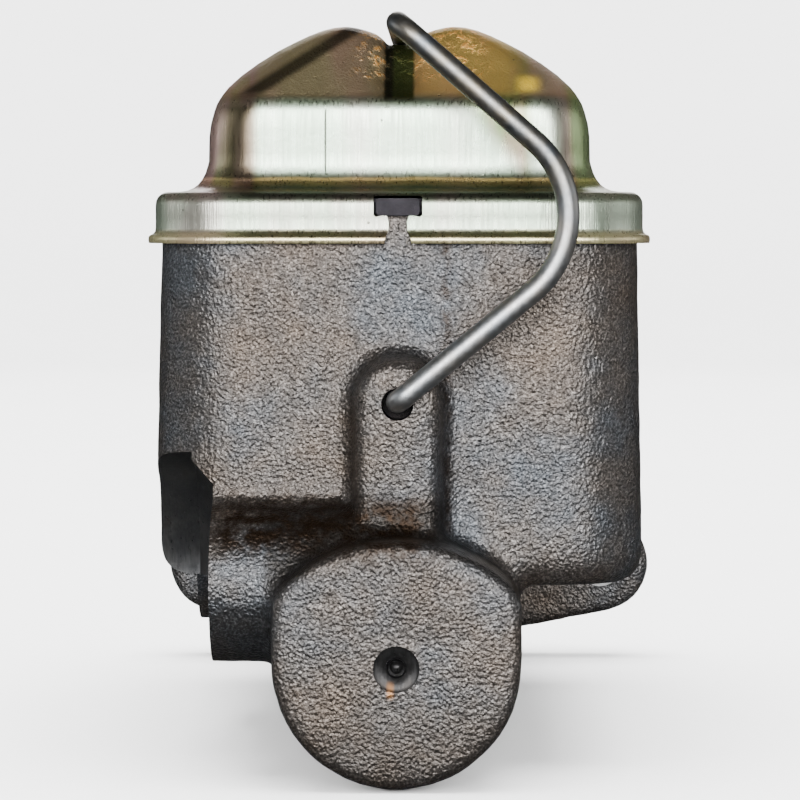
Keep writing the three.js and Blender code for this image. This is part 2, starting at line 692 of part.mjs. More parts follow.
function secondaryPiston() {
  const groove = GROOVE_CUP_LENGTH + 2 * GAP;
  const a = secondaryRear - SECONDARY_LAND;
  const b = a - groove;
  const c = b - SECONDARY_LAND;
  const d = c - groove;
  const e = d - SECONDARY_LAND;
  const stubEnd = cupEnd(secondaryFront) - 2 * GAP - WASHER;
  return turned([
    [0, secondaryRear], [pistonR, secondaryRear], [pistonR, a], [waistR, a], [waistR, b], [pistonR, b],
    [pistonR, c], [waistR, c], [waistR, d], [pistonR, d], [pistonR, e], [waistR, e - 1],
    [waistR, secondaryWaistFront], [pistonR, secondaryWaistFront], [pistonR, secondaryFront],
    [stubR, secondaryFront], [stubR, stubEnd], [0, stubEnd],
  ]);
}

const secondaryGroove = secondaryRear - SECONDARY_LAND; // rear end of the rear cup's groove
const groovePitch = GROOVE_CUP_LENGTH + 2 * GAP + SECONDARY_LAND;
const plateRear = (landFront) => cupEnd(landFront) - GAP; // a spring's seat plate, in front of a cup
const cageFront = secondaryRear + GAP;
const cageRear = cageFront + CAGE.length;

function grooveCup(rear, openEnd) {
  const ends = [rear - GAP - GROOVE_CUP_LENGTH, rear - GAP];
  return openEnd === "rear" ? cup(waistR, ...ends) : cup(waistR, ...ends.reverse());
}

function cupWasher(landFront) {
  return ring(stubR + GAP, pistonR - 0.8, landFront - GAP - WASHER, landFront - GAP);
}

function seatPlate(landFront) {
  return ring(stubR + GAP, plateR, plateRear(landFront) - WASHER, plateRear(landFront));
}

function frontCup(landFront) {
  return cup(stubR, landFront - 2 * GAP - WASHER, cupEnd(landFront));
}

function pistonSpring(turns, from, landFront) {
  const to = plateRear(landFront) - WASHER;
  const path = new Coil(springMeanR, SPRING_WIRE_R, from + GAP, to - GAP, turns);
  return sweep(path, SPRING_WIRE_R, 5, Math.round(turns * 10));
}

// The screw that holds the primary spring's cage to the piston, with its head inside the cage.
function springScrew() {
  const thread = cupEnd(primaryFront) - 2 * GAP - WASHER + SCREW.thread;
  const headRear = cageRear - CAGE.sheet - GAP;
  return turned([
    [0, thread], [SCREW.shankR, thread], [SCREW.shankR, headRear], [SCREW.headR, headRear],
    [SCREW.headR, headRear - SCREW.head], [0, headRear - SCREW.head],
  ], "y", [0, 0, 0], 16);
}

function springCage() {
  const inner = CAGE.r - CAGE.sheet;
  return turned([
    [plateR, cageFront], [plateR, cageFront + CAGE.sheet], [CAGE.r, cageFront + CAGE.sheet],
    [CAGE.r, cageRear], [SCREW.shankR + GAP, cageRear], [SCREW.shankR + GAP, cageRear - CAGE.sheet],
    [inner, cageRear - CAGE.sheet], [inner, cageFront],
  ]);
}

function snapRing() {
  const [open, outerR, innerR] = [16, mouthR + RING_GROOVE - GAP, mouthR - 1.6];
  const outside = arc([0, 0], outerR, open, 360 - open, 22);
  const outline = [...outside, ...arc([0, 0], innerR, 360 - open, open, 22)];
  return prism(outline, "y", snapFront, snapFront + RING_THICK);
}

function stopWasher() {
  return ring(tailR + GAP, mouthR - GAP, snapFront - GAP - STOP_WASHER, snapFront - GAP);
}

function stopScrew() {
  const under = chamberFloor + 2 * GAP + STOP_SEAL;
  const tip = waistR + GAP;
  const shank = turned([
    [0, tip], [STOP_SCREW.tipR, tip], [STOP_SCREW.tipR, BORE_R + 1], [STOP_SCREW.shankR, BORE_R + 1],
    [STOP_SCREW.shankR, under + 1], [0, under + 1],
  ], "z", [0, stopScrewY, 0], 12);
  return joined(shank, rod("z", STOP_SCREW.headR, under, under + STOP_SCREW.head, [0, stopScrewY, 0], 6));
}

function stopSeal() {
  const [low, high] = [chamberFloor + GAP, chamberFloor + GAP + STOP_SEAL];
  const [inner, outer] = [STOP_SCREW.shankR + GAP, STOP_SCREW.headR];
  return turned([[inner, low], [outer, low], [outer, high], [inner, high]], "z", [0, stopScrewY, 0], 16);
}

// ---- Outlet fittings ----

function tubeSeat({ y, face }) {
  const end = face + PORT_DEPTH + SEAT_PRESS;
  const shoulder = face + PORT_DEPTH;
  return turned([
    [PASSAGE_R, end], [SEAT_R, end], [SEAT_R, shoulder - 1.5], [PASSAGE_R + 0.6, shoulder - 4],
    [PASSAGE_R, shoulder - 4],
  ], "x", [0, y, OUTLET_Z], 16);
}

const valveFace = rearOutlet.face + PORT_DEPTH + SEAT_PRESS + GAP;

function residualValve() {
  const end = valveFace + VALVE.length;
  return turned([
    [0, valveFace], [VALVE.r, valveFace], [VALVE.r, valveFace + VALVE.rim],
    [VALVE.r * 0.7, valveFace + VALVE.rim], [VALVE.r * 0.4, end], [0, end],
  ], "x", [0, rearOutlet.y, OUTLET_Z], 16);
}

function residualValveSpring() {
  const { meanR, wireR, turns } = VALVE_SPRING;
  const from = valveFace + VALVE.rim + GAP;
  const path = new Coil(meanR, wireR, from, rearOutlet.face + PORT_DEPTH + rearOutlet.chamber - GAP, turns);
  const options = { steps: 9 * turns, extrudePath: path, bevelEnabled: false };
  const geometry = new THREE.ExtrudeGeometry(wireSection(wireR, 4), options);
  lay(geometry, "x").translate(0, rearOutlet.y, OUTLET_Z);
  return solid(geometry);
}

// ---- Scene graph ----

const finishes = {
  castIron: { color: 0x4a4643, roughness: 0.6, metalness: 0.7 },
  yellowZinc: { color: 0xb9a86a, roughness: 0.3, metalness: 1 },
  brightSteel: { color: 0xa8abad, roughness: 0.3, metalness: 1 },
  springSteel: { color: 0x55585a, roughness: 0.4, metalness: 1 },
  rubber: { color: 0x1c1b1e, roughness: 0.8, metalness: 0 },
  pistonAluminium: { color: 0xb4b6b8, roughness: 0.35, metalness: 1 },
  brass: { color: 0xb5924c, roughness: 0.35, metalness: 1 },
  copper: { color: 0xb0714c, roughness: 0.4, metalness: 1 },
};
const materials = Object.fromEntries(
  Object.entries(finishes).map(([name, look]) => [name, new THREE.MeshStandardMaterial(look)]),
);

function piece(name, made, material) {
  const { numProp, vertProperties, triVerts } = made.getMesh();
  const geometry = new THREE.BufferGeometry();
  const points = Array.from({ length: vertProperties.length / numProp }, (_, i) =>
    Array.from(vertProperties.subarray(i * numProp, i * numProp + 3)));
  geometry.setAttribute("position", new THREE.Float32BufferAttribute(points.flat(), 3));
  geometry.setIndex(new THREE.BufferAttribute(triVerts, 1));
  const mesh = new THREE.Mesh(geometry, material);
  mesh.name = name;
  return mesh;
}

function assembly(...members) {
  const group = new THREE.Group();
  group.add(...members);
  return group;
}

const { castIron, yellowZinc, brightSteel, springSteel, rubber, pistonAluminium, brass, copper } = materials;

const masterCylinder = assembly(
  assembly(
    piece("body", casting(), castIron),
    piece("front_tube_seat", tubeSeat(frontOutlet), brass),
    piece("rear_tube_seat", tubeSeat(rearOutlet), brass),
    piece("residual_valve", residualValve(), rubber),
    piece("residual_valve_spring", residualValveSpring(), springSteel),
    piece("piston_stop_screw", stopScrew(), brightSteel),
    piece("stop_screw_seal", stopSeal(), copper),
    piece("stop_washer", stopWasher(), brightSteel),
    piece("snap_ring", snapRing(), springSteel),
  ),
  assembly(
    piece("cover", coverShell(), yellowZinc),
    piece("diaphragm_gasket", diaphragm(), rubber),
    piece("bail_wire", bail(), brightSteel),
  ),
  assembly(
    piece("primary_piston", primaryPiston(), pistonAluminium),
    piece("primary_rear_seal", grooveCup(PRIMARY_SEAL_Y, "front"), rubber),
    piece("primary_cup_washer", cupWasher(primaryFront), brightSteel),
    piece("primary_cup", frontCup(primaryFront), rubber),
    piece("primary_spring_seat", seatPlate(primaryFront), brightSteel),
    piece("primary_spring_screw", springScrew(), brightSteel),
    piece("primary_spring", pistonSpring(PRIMARY_TURNS, cageFront + CAGE.sheet, primaryFront), springSteel),
    piece("primary_spring_cage", springCage(), brightSteel),
  ),
  assembly(
    piece("secondary_piston", secondaryPiston(), pistonAluminium),
    piece("secondary_rear_cup", grooveCup(secondaryGroove, "rear"), rubber),
    piece("secondary_middle_cup", grooveCup(secondaryGroove - groovePitch, "front"), rubber),
    piece("secondary_cup_washer", cupWasher(secondaryFront), brightSteel),
    piece("secondary_front_cup", frontCup(secondaryFront), rubber),
    piece("secondary_spring_seat", seatPlate(secondaryFront), brightSteel),
    piece("secondary_spring", pistonSpring(SECONDARY_TURNS, boreFront, secondaryFront), springSteel),
  ),
);

export default masterCylinder;
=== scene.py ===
import bpy
import math
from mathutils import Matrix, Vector


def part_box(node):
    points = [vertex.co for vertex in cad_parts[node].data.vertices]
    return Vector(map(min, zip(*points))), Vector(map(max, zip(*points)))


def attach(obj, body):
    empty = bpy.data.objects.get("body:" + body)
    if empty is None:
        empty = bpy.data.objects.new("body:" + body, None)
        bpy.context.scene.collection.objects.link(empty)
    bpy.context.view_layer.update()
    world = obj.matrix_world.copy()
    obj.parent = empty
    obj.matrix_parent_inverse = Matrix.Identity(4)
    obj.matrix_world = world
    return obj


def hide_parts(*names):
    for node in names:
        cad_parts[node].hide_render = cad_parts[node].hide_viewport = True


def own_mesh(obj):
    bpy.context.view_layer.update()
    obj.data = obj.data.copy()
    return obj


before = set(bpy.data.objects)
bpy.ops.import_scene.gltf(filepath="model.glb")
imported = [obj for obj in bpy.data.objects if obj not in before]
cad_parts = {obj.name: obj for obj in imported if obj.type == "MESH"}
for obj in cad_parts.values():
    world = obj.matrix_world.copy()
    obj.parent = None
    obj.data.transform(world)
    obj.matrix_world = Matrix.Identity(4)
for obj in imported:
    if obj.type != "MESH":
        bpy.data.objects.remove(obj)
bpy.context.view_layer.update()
mm = 0.001
print("frame loaded")

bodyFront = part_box("body")[0].y / mm  # the barrel's end, in millimetres


def startClean():
    if bpy.context.object and bpy.context.object.mode != "OBJECT":
        bpy.ops.object.mode_set(mode="OBJECT")
    bpy.ops.object.select_all(action="DESELECT")


def makeActive(piece):
    startClean()
    piece.select_set(True)
    bpy.context.view_layer.objects.active = piece
    return piece


def applyPlace(piece):
    makeActive(piece)
    bpy.ops.object.transform_apply(location=True, rotation=True, scale=True)
    return piece


def lengthAlong(axis):
    # turns a primitive made along Z to lie along X, Y or Z
    return {"x": (0, math.pi / 2, 0), "y": (-math.pi / 2, 0, 0), "z": (0, 0, 0)}[axis]


def addRod(name, axis, radius, start, end, at, sides=96, endRadius=None):
    # a round bar or a cone along an axis; at gives the other two coordinates in order
    startClean()
    middle = (start + end) / 2
    place = {"x": (middle, *at), "y": (at[0], middle, at[1]), "z": (*at, middle)}[axis]
    bpy.ops.mesh.primitive_cone_add(
        vertices=sides, radius1=radius * mm, radius2=(radius if endRadius is None else endRadius) * mm,
        depth=(end - start) * mm, location=[value * mm for value in place], rotation=lengthAlong(axis))
    rod = bpy.context.object
    rod.name = name
    return applyPlace(rod)


def addBlock(name, low, high):
    startClean()
    size = [(b - a) * mm for a, b in zip(low, high)]
    bpy.ops.mesh.primitive_cube_add(size=1, location=[(a + b) / 2 * mm for a, b in zip(low, high)])
    block = bpy.context.object
    block.name = name
    block.scale = size
    return applyPlace(block)


def selectWhere(piece, mode, test):
    # selects vertices, edges or faces by place; the test gets each one's middle and, for faces, its normal
    makeActive(piece)
    bpy.ops.object.mode_set(mode="EDIT")
    bpy.ops.mesh.select_all(action="DESELECT")
    bpy.ops.mesh.select_mode(type=mode)
    bpy.ops.object.mode_set(mode="OBJECT")
    mesh = piece.data
    if mode == "VERT":
        for vertex in mesh.vertices:
            vertex.select = test(vertex.co / mm)
    if mode == "EDGE":
        for edge in mesh.edges:
            ends = [mesh.vertices[i].co / mm for i in edge.vertices]
            edge.select = test((ends[0] + ends[1]) / 2, ends[1] - ends[0])
    if mode == "FACE":
        for face in mesh.polygons:
            face.select = test(face.center / mm, face.normal)
    bpy.ops.object.mode_set(mode="EDIT")


def bevelSelected(width, segments, profile=0.5):
    bpy.ops.mesh.bevel(offset=width * mm, segments=segments, profile=profile, affect="EDGES",
                       clamp_overlap=True)
    bpy.ops.object.mode_set(mode="OBJECT")


def bevelEdges(piece, width, segments, test):
    selectWhere(piece, "EDGE", test)
    bevelSelected(width, segments)
    return piece


def applyModifier(piece, kind, **settings):
    makeActive(piece)
    modifier = piece.modifiers.new(kind.lower(), kind)
    for key, value in settings.items():
        setattr(modifier, key, value)
    bpy.ops.object.modifier_apply(modifier=modifier.name)
    return piece


def joinPieces(pieces, name):
    startClean()
    for piece in pieces:
        piece.select_set(True)
    bpy.context.view_layer.objects.active = pieces[0]
    bpy.ops.object.join()
    pieces[0].name = name
    return pieces[0]


def cutAway(piece, cutters, operation="DIFFERENCE"):
    for cutter in cutters:
        applyModifier(piece, "BOOLEAN", operation=operation, solver="MANIFOLD", object=cutter)
        bpy.data.objects.remove(cutter)
    return piece


def allOneSlot(piece, index):
    # gives a piece three slots, its faces all in one, so the faces that a cutter leaves keep its slot
    piece.data.materials.clear()
    for slot in range(3):
        piece.data.materials.append(None)
    for face in piece.data.polygons:
        face.material_index = index
    return piece


def spinOutline(name, outline, axis, at, steps=96):
    # turns an outline of (radius, place along the axis) points, in millimetres, all the way round
    startClean()
    mesh = bpy.data.meshes.new(name)
    across = {"x": lambda r, h: (h, at[0] + r, at[1]), "y": lambda r, h: (at[0] + r, h, at[1]),
              "z": lambda r, h: (at[0] + r, at[1], h)}[axis]
    points = [Vector(across(r, h)) * mm for r, h in outline]
    closed = outline[0][0] > 0
    edges = [(i, i + 1) for i in range(len(points) - 1)] + ([(len(points) - 1, 0)] if closed else [])
    mesh.from_pydata(points, edges, [])
    piece = bpy.data.objects.new(name, mesh)
    bpy.context.scene.collection.objects.link(piece)
    makeActive(piece)
    bpy.ops.object.mode_set(mode="EDIT")
    bpy.ops.mesh.select_all(action="SELECT")
    centre = {"x": (0, *at), "y": (at[0], 0, at[1]), "z": (*at, 0)}[axis]
    direction = {"x": (1, 0, 0), "y": (0, 1, 0), "z": (0, 0, 1)}[axis]
    bpy.ops.mesh.spin(steps=steps, angle=2 * math.pi, center=[c * mm for c in centre], axis=direction)
    bpy.ops.mesh.select_all(action="SELECT")
    bpy.ops.mesh.remove_doubles(threshold=0.00001)
    bpy.ops.mesh.normals_make_consistent(inside=False)
    bpy.ops.object.mode_set(mode="OBJECT")
    return piece


def prismAlongY(name, outline, low, high):
    # a flat outline of (x, z) points made thick along Y
    mesh = bpy.data.meshes.new(name)
    mesh.from_pydata([Vector((x, low, z)) * mm for x, z in outline], [], [list(range(len(outline)))])
    piece = bpy.data.objects.new(name, mesh)
    bpy.context.scene.collection.objects.link(piece)
    makeActive(piece)
    bpy.ops.object.mode_set(mode="EDIT")
    bpy.ops.mesh.select_all(action="SELECT")
    bpy.ops.mesh.extrude_region_move(TRANSFORM_OT_translate={"value": (0, (high - low) * mm, 0)})
    bpy.ops.mesh.select_all(action="SELECT")
    bpy.ops.mesh.normals_make_consistent(inside=False)
    bpy.ops.object.mode_set(mode="OBJECT")
    return piece


def smoothByAngle(piece, degrees=35):
    makeActive(piece)
    bpy.ops.object.shade_smooth_by_angle(angle=math.radians(degrees))
    return piece


def finishPiece(piece, body, node):
    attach(piece, body)
    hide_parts(node)
    return piece


# the casting
casting = {
    "voxel": 1.05, "smoothing": 8, "machiningAllowance": 2, "waveLength": 9, "waveHeight": 0.5,
    "barrelHalf": 21.6, "barrelZ": 0.5, "barrelRound": 1.6, "faceInset": 0.15,
    "barrelCrown": 22, "crownRadius": 29, "crownCorner": 3,
    "tankFront": -180.3, "tankRear": -37.7, "tankHalf": 43.95, "tankDraft": 1.2, "tankCorner": 14,
    "tankLow": 12, "tankLowRound": 5, "rim": 77.7, "wall": 4.5, "floor": 17.5, "divider": 5,
    "chamberCorner": 9,
    "ribHalf": 6.8, "ribSpread": 2.2, "ribStand": 7, "ribTopZ": 45.3,
    "pivotZ": 44.85, "pivotRadius": 2.835, "pivotDepth": 7.5,
    "earX": 42.87, "earRadius": 10.9, "studRadius": 5.15, "hubRadius": 19, "flangeThick": 12,
    "noseRadius": 19, "noseLength": 9.5, "outletZ": 12.9, "bossRadius": 14.1,
    "portDepth": 12, "seatRecess": 4.5, "drillRadius": 1.5,
    "reliefRadius": 17.5, "reliefMouth": 21.8, "wideReliefRadius": 23, "wideReliefX": -36.6,
    "boreRadius": 12.7, "boreFront": -190, "mouthRadius": 14.3, "mouthDepth": 8,
    # where each outlet is and how deep its drillings go
    "front": {"y": -178.5, "face": -32.7, "port": 5.6, "chamber": 3.6, "lead": 0},
    "rear": {"y": -110, "face": -39.6, "port": 6.6, "chamber": 12.4, "lead": 4.5},
    # x, y and radius of the holes between reservoir and bore
    "holes": ((0, -46.8, 1.8), (0, -64, 0.5), (7, -136.1, 1.8), (0, -157.2, 0.5), (0, -141.5, 2.8)),
}


def roundedBlock(name, low, high, corner, lowRound, draft):
    # a block with upright corners rounded, its bottom edges eased, narrower at the top by the draft
    block = addBlock(name, low, high)
    middle = [(a + b) / 2 for a, b in zip(low, high)]
    if draft:
        selectWhere(block, "VERT", lambda at: at.z > middle[2])
        shares = [(b - a - 2 * draft) / (b - a) for a, b in zip(low, high)]
        bpy.ops.transform.resize(value=(shares[0], shares[1], 1), center_override=[m * mm for m in middle])
        bpy.ops.object.mode_set(mode="OBJECT")
    bevelEdges(block, corner, 10, lambda at, along: abs(along.z) > 0.7 * along.length)
    if lowRound:
        bevelEdges(block, lowRound, 5, lambda at, along: abs(at.z - low[2]) < 0.01)
    return block


def addTankRough(c):
    low = (-c["tankHalf"], c["tankFront"], c["tankLow"])
    high = (c["tankHalf"], c["tankRear"], c["rim"] + c["machiningAllowance"])
    return roundedBlock("tankRough", low, high, c["tankCorner"], c["tankLowRound"], c["tankDraft"])


def addRibRough(c, wall, outward):
    # a rounded rib with draft on its sides, down from the pivot into the barrel
    root, face = wall - outward * c["wall"] / 2, wall + outward * c["ribStand"]
    wide, narrow = c["ribHalf"] + c["ribSpread"], c["ribHalf"]
    ends = (root, face, wide, narrow) if root < face else (face, root, narrow, wide)
    cap = addRod("ribCap", "y", ends[2], ends[0], ends[1], (0, c["ribTopZ"]), 48, ends[3])
    post = addBlock("ribPost", (-narrow, min(root, face), 4), (narrow, max(root, face), c["ribTopZ"]))
    selectWhere(post, "VERT", lambda at: abs(at.y - root) < 0.01)
    bpy.ops.transform.resize(value=(wide / narrow, 1, 1), center_override=(0, root * mm, 0))
    bpy.ops.object.mode_set(mode="OBJECT")
    return [cap, post]


def addFlangeRough(c):
    # two ears and a hub, their outline drawn with the tangent lines between them
    lean = math.acos((c["hubRadius"] - c["earRadius"]) / c["earX"])
    outline = []
    for centre, radius, start, end in (
            (c["earX"], c["earRadius"], -lean, lean), (0, c["hubRadius"], lean, math.pi - lean),
            (-c["earX"], c["earRadius"], math.pi - lean, math.pi + lean),
            (0, c["hubRadius"], math.pi + lean, 2 * math.pi - lean)):
        for i in range(17):
            angle = start + (end - start) * i / 16
            outline.append((centre + radius * math.cos(angle), radius * math.sin(angle)))
    return prismAlongY("flangeRough", outline, -c["flangeThick"], c["machiningAllowance"])


def addBarrelRough(c):
    # half round below, upright sides and a low arch on top
    half, crown, radius, corner = c["barrelHalf"], c["barrelCrown"], c["crownRadius"], c["crownCorner"]
    lean = math.asin((half - corner * 0.6) / radius)
    outline = []
    for i in range(49):
        angle = math.radians(180 + 180 * i / 48)
        outline.append((half * math.cos(angle), c["barrelZ"] + half * math.sin(angle)))
    for i in range(25):
        angle = math.pi / 2 - lean + 2 * lean * i / 24
        outline.append((radius * math.cos(angle), crown - radius + radius * math.sin(angle)))
    outline.insert(49, (half, outline[49][1] - corner))
    outline.append((-half, outline[49][1]))
    front = bodyFront + c["faceInset"]
    barrel = prismAlongY("barrelRough", outline, front, 0)
    bevelEdges(barrel, c["barrelRound"], 4, lambda at, along: abs(at.y - front) < 0.01)
    return barrel


def addRough(c):
    barrel = addBarrelRough(c)
    rough = [barrel, addTankRough(c), addFlangeRough(c)]
    rough += addRibRough(c, c["tankFront"], -1) + addRibRough(c, c["tankRear"], 1)
    for outlet in (c["front"], c["rear"]):
        start = outlet["face"] - c["machiningAllowance"]
        rough.append(addRod("bossRough", "x", c["bossRadius"], start, 0, (outlet["y"], c["outletZ"])))
    rough.append(addRod("neckRough", "y", c["hubRadius"], -4, 2, (0, 0)))
    return joinPieces(rough, "masterBody")


def addChambers(c):
    # the two chambers, less the iron kept round the outlets
    middle = (c["tankFront"] + c["tankRear"]) / 2
    half = c["tankHalf"] - c["tankDraft"] - c["wall"]
    ends = ((c["tankFront"] + c["wall"], middle - c["divider"] / 2),
            (middle + c["divider"] / 2, c["tankRear"] - c["wall"]))
    chambers = []
    for front, rear in ends:
        chamber = roundedBlock("chamber", (-half, front, c["floor"]), (half, rear, c["rim"] + 10),
                               c["chamberCorner"], 4, 0)
        chambers.append(chamber)
    pads = []
    wide = (c["wideReliefRadius"], c["wideReliefX"])
    for outlet, others in ((c["front"], [wide]), (c["rear"], [])):
        place = (outlet["y"], c["outletZ"])
        inner = outlet["face"] + c["portDepth"] + outlet["chamber"] + c["wall"]
        pads.append(addRod("pad", "x", outlet["port"] + c["wall"], -50, inner, place, 64))
        for radius, face in [(c["reliefRadius"], outlet["face"])] + others:
            pads.append(addRod("pad", "x", radius + c["wall"], -50, face + c["wall"], place, 64))
    for chamber in chambers:
        for pad in pads:
            applyModifier(chamber, "BOOLEAN", operation="DIFFERENCE", solver="MANIFOLD", object=pad)
    for pad in pads:
        bpy.data.objects.remove(pad)
    return chambers


def slantedDrill(outlet, c):
    # the passage from the seat's recess down into the bore
    recessEnd = outlet["face"] + c["portDepth"] + outlet["chamber"]
    start = Vector((recessEnd - 1, outlet["y"], c["outletZ"])) * mm
    end = Vector((-c["boreRadius"] * 0.6, outlet["y"] + outlet["lead"], c["boreRadius"] * 0.5)) * mm
    startClean()
    bpy.ops.mesh.primitive_cylinder_add(vertices=32, radius=c["drillRadius"] * mm, depth=(end - start).length,
                                        location=(start + end) / 2,
                                        rotation=(end - start).to_track_quat("Z", "Y").to_euler())
    return applyPlace(bpy.context.object)


def machiningCutters(c):
    allowance = c["machiningAllowance"] + 4
    cutters = [addBlock("rimCut", (-60, -195, c["rim"]), (60, -25, c["rim"] + allowance)),
               addBlock("backCut", (-70, 0, -40), (70, allowance, 60))]
    for side in (-1, 1):
        cutters.append(addRod("studHole", "y", c["studRadius"], -20, 5, (side * c["earX"], 0), 64))
    return cutters


def reliefCutters(c):
    # round clearances beside the outlet faces, the centre drilling in the barrel's end, the pivot holes
    frontPlace, rearPlace = [(c[end]["y"], c["outletZ"]) for end in ("front", "rear")]
    step, face, front = c["wideReliefX"], c["front"]["face"], bodyFront
    holes = []
    for wall, outward in ((c["tankFront"], -1), (c["tankRear"], 1)):
        mouth = wall + outward * c["ribStand"]
        ends = sorted((mouth - outward * c["pivotDepth"], mouth + outward * 4))
        holes.append(addRod("pivotHole", "y", c["pivotRadius"], *ends, (0, c["pivotZ"]), 48))
    return holes + [
        addRod("relief", "x", c["wideReliefRadius"], -60, step, frontPlace, 128),
        addRod("relief", "x", c["reliefMouth"], step - 0.2, face, frontPlace, 128, c["reliefRadius"]),
        addRod("relief", "x", c["reliefRadius"], -60, c["rear"]["face"], rearPlace, 128),
        spinOutline("centreDrill", [
            (0, front - 2), (4.1, front - 2), (4.0, front + 0.4), (3.4, front + 0.7), (3.0, front + 0.7),
            (1.7, front + 1.5), (1.5, front + 2.6), (1.1, front + 2.8), (0.6, front + 2.3), (0, front + 2.2)],
            "y", (0, 0), 64),
    ]


def boringCutters(c):
    # the bore with its wider mouth and snap ring groove, the ports, the passages and the reservoir holes
    nose, mouth = c["noseLength"], c["noseLength"] - c["mouthDepth"]
    groove = mouth + 2.1 - 0.3
    bore = spinOutline("bore", [
        (0, c["boreFront"]), (c["boreRadius"] - 0.8, c["boreFront"]), (c["boreRadius"], c["boreFront"] + 0.8),
        (c["boreRadius"], mouth - 1), (c["boreRadius"] + 1, mouth), (c["mouthRadius"], mouth),
        (c["mouthRadius"], groove), (c["mouthRadius"] + 1.4, groove), (c["mouthRadius"] + 1.4, groove + 2.2),
        (c["mouthRadius"], groove + 2.2), (c["mouthRadius"], nose - 1), (c["mouthRadius"] + 1.2, nose + 0.2),
        (c["mouthRadius"] + 1.2, nose + 2), (0, nose + 2)], "y", (0, 0), 128)
    cutters = [bore]
    for outlet in (c["front"], c["rear"]):
        shoulder, port, seatRadius = outlet["face"] + c["portDepth"], outlet["port"], c["seatRecess"]
        threads = [(port + 0.5 * (i % 2) - 0.35, outlet["face"] + 1.4 + i * 0.6) for i in range(16)]
        cutters.append(spinOutline("port", [
            (0, outlet["face"] - 2), (port + 1.2, outlet["face"] - 2), (port + 1.2, outlet["face"]), *threads,
            (port, shoulder), (seatRadius, shoulder), (seatRadius, shoulder + outlet["chamber"]),
            (0, shoulder + outlet["chamber"]),
        ], "x", (outlet["y"], c["outletZ"]), 64))
        cutters.append(slantedDrill(outlet, c))
    for x, y, radius in c["holes"]:
        cutters.append(addRod("hole", "z", radius, c["boreRadius"] / 2, c["floor"] + 1, (x, y), 24))
    return cutters


def addNose(c):
    radius, end = c["noseRadius"], c["noseLength"]
    return spinOutline("nose", [
        (0, -3), (radius, -3), (radius, 3.6), (radius - 1.2, 3.6), (radius - 1.2, 6.2), (radius, 6.2),
        (radius, end - 0.9), (radius - 0.9, end), (0, end)], "y", (0, 0), 128)


def makeBody():
    c = casting
    body = addRough(c)
    applyModifier(body, "REMESH", mode="VOXEL", voxel_size=c["voxel"] * mm)
    applyModifier(body, "SMOOTH", factor=0.5, iterations=c["smoothing"])
    waves = bpy.data.textures.new("waves", "CLOUDS")
    waves.noise_scale = c["waveLength"] * mm
    applyModifier(body, "DISPLACE", texture=waves, texture_coords="LOCAL", mid_level=0.5,
                  strength=c["waveHeight"] * mm)
    allOneSlot(body, 0)
    print("casting roughed", len(body.data.polygons))
    cutAway(body, [allOneSlot(chamber, 0) for chamber in addChambers(c)])
    cutAway(body, [allOneSlot(cutter, 1) for cutter in machiningCutters(c)])
    cutAway(body, [allOneSlot(cutter, 2) for cutter in reliefCutters(c)])
    cutAway(body, [allOneSlot(addNose(c), 1)], "UNION")
    cutAway(body, [allOneSlot(cutter, 1) for cutter in boringCutters(c)])
    # the third finish is a copy of the machined one at about a quarter of its brightness, on the reliefs, the
    # pivot holes and the centre drilling
    looks = (castIron(), machinedIron("machinedIron", 1), machinedIron("darkerMachinedIron", 0.26))
    for slot, look in enumerate(looks):
        body.data.materials[slot] = look
    smoothByAngle(body, 38)
    finishPiece(body, "housing", "body")
    print("body done", len(body.data.polygons))


# the cover
zincCover = {
    "middle": -109, "sheet": 0.9, "rimHalf": (42.4, 69.8), "rimCorner": 12.8,
    "domeCorner": 9.5, "domeHalf": 34.4,
    # height, distance outside the rim's edge, and grid steps, from the lip up to the shoulder
    "skirt": [(72.85, 2.6, 1), (73.3, 2.72, 1), (73.9, 2.7, 1), (74.25, 2.45, 1), (74.42, 2.1, 1),
              (74.6, 1.75, 1), (75.0, 1.5, 1), (75.6, 1.4, 1), (79.6, 1.4, 2), (80.4, 1.3, 1),
              (81.1, 0.95, 1), (81.6, 0.4, 1), (81.93, -0.3, 1), (82.0, -1.0, 1)],
    # height, half width, half length and grid steps of the dome's level lines
    "dome": [(82.05, 39.6, 66.9, 1), (82.3, 38.2, 65.4, 1), (82.75, 37.2, 64.3, 1), (83.4, 36.4, 63.4, 1),
             (84.3, 35.7, 62.7, 1), (85.5, 35.1, 62.2, 1), (87.5, 34.5, 62.0, 1), (92.0, 34.4, 62.0, 3),
             (94.3, 34.1, 62.0, 2), (96.5, 33.5, 61.9, 2), (97.9, 33.0, 61.6, 1), (98.8, 32.5, 61.1, 1),
             (99.8, 31.9, 60.2, 1), (101.0, 31.0, 59.05, 2), (103.2, 28.7, 57.0, 2), (105.4, 25.8, 55.0, 3),
             (107.6, 22.4, 53.1, 3), (109.2, 19.4, 51.7, 3), (110.5, 16.7, 50.4, 2), (111.5, 14.3, 49.0, 2),
             (112.1, 12.2, 47.3, 2), (112.4, 10.4, 45.2, 3), (112.5, 9.0, 42.5, 3), (112.5, 0, 0, 18)],
    # distance from the middle line, then how deep the bail's valley is there
    "valley": [(0, 3.45), (2.15, 3.45), (2.6, 3.0), (3.3, 2.2), (4.3, 1.5), (6, 0.85), (8, 0.35), (10, 0.05),
               (12, 0)],
    "slit": [(2.0, 78.0), (1.6, 76.6), (1.7, 75.2), (2.3, 73.6), (2.5, 72.0)],
}


def between(table, at):
    # straight lines through a table of (place, value) rows
    for (low, a), (high, b) in zip(table, table[1:]):
        if at <= high:
            share = max(0, (at - low) / (high - low))
            return a + (b - a) * share
    return table[-1][1]


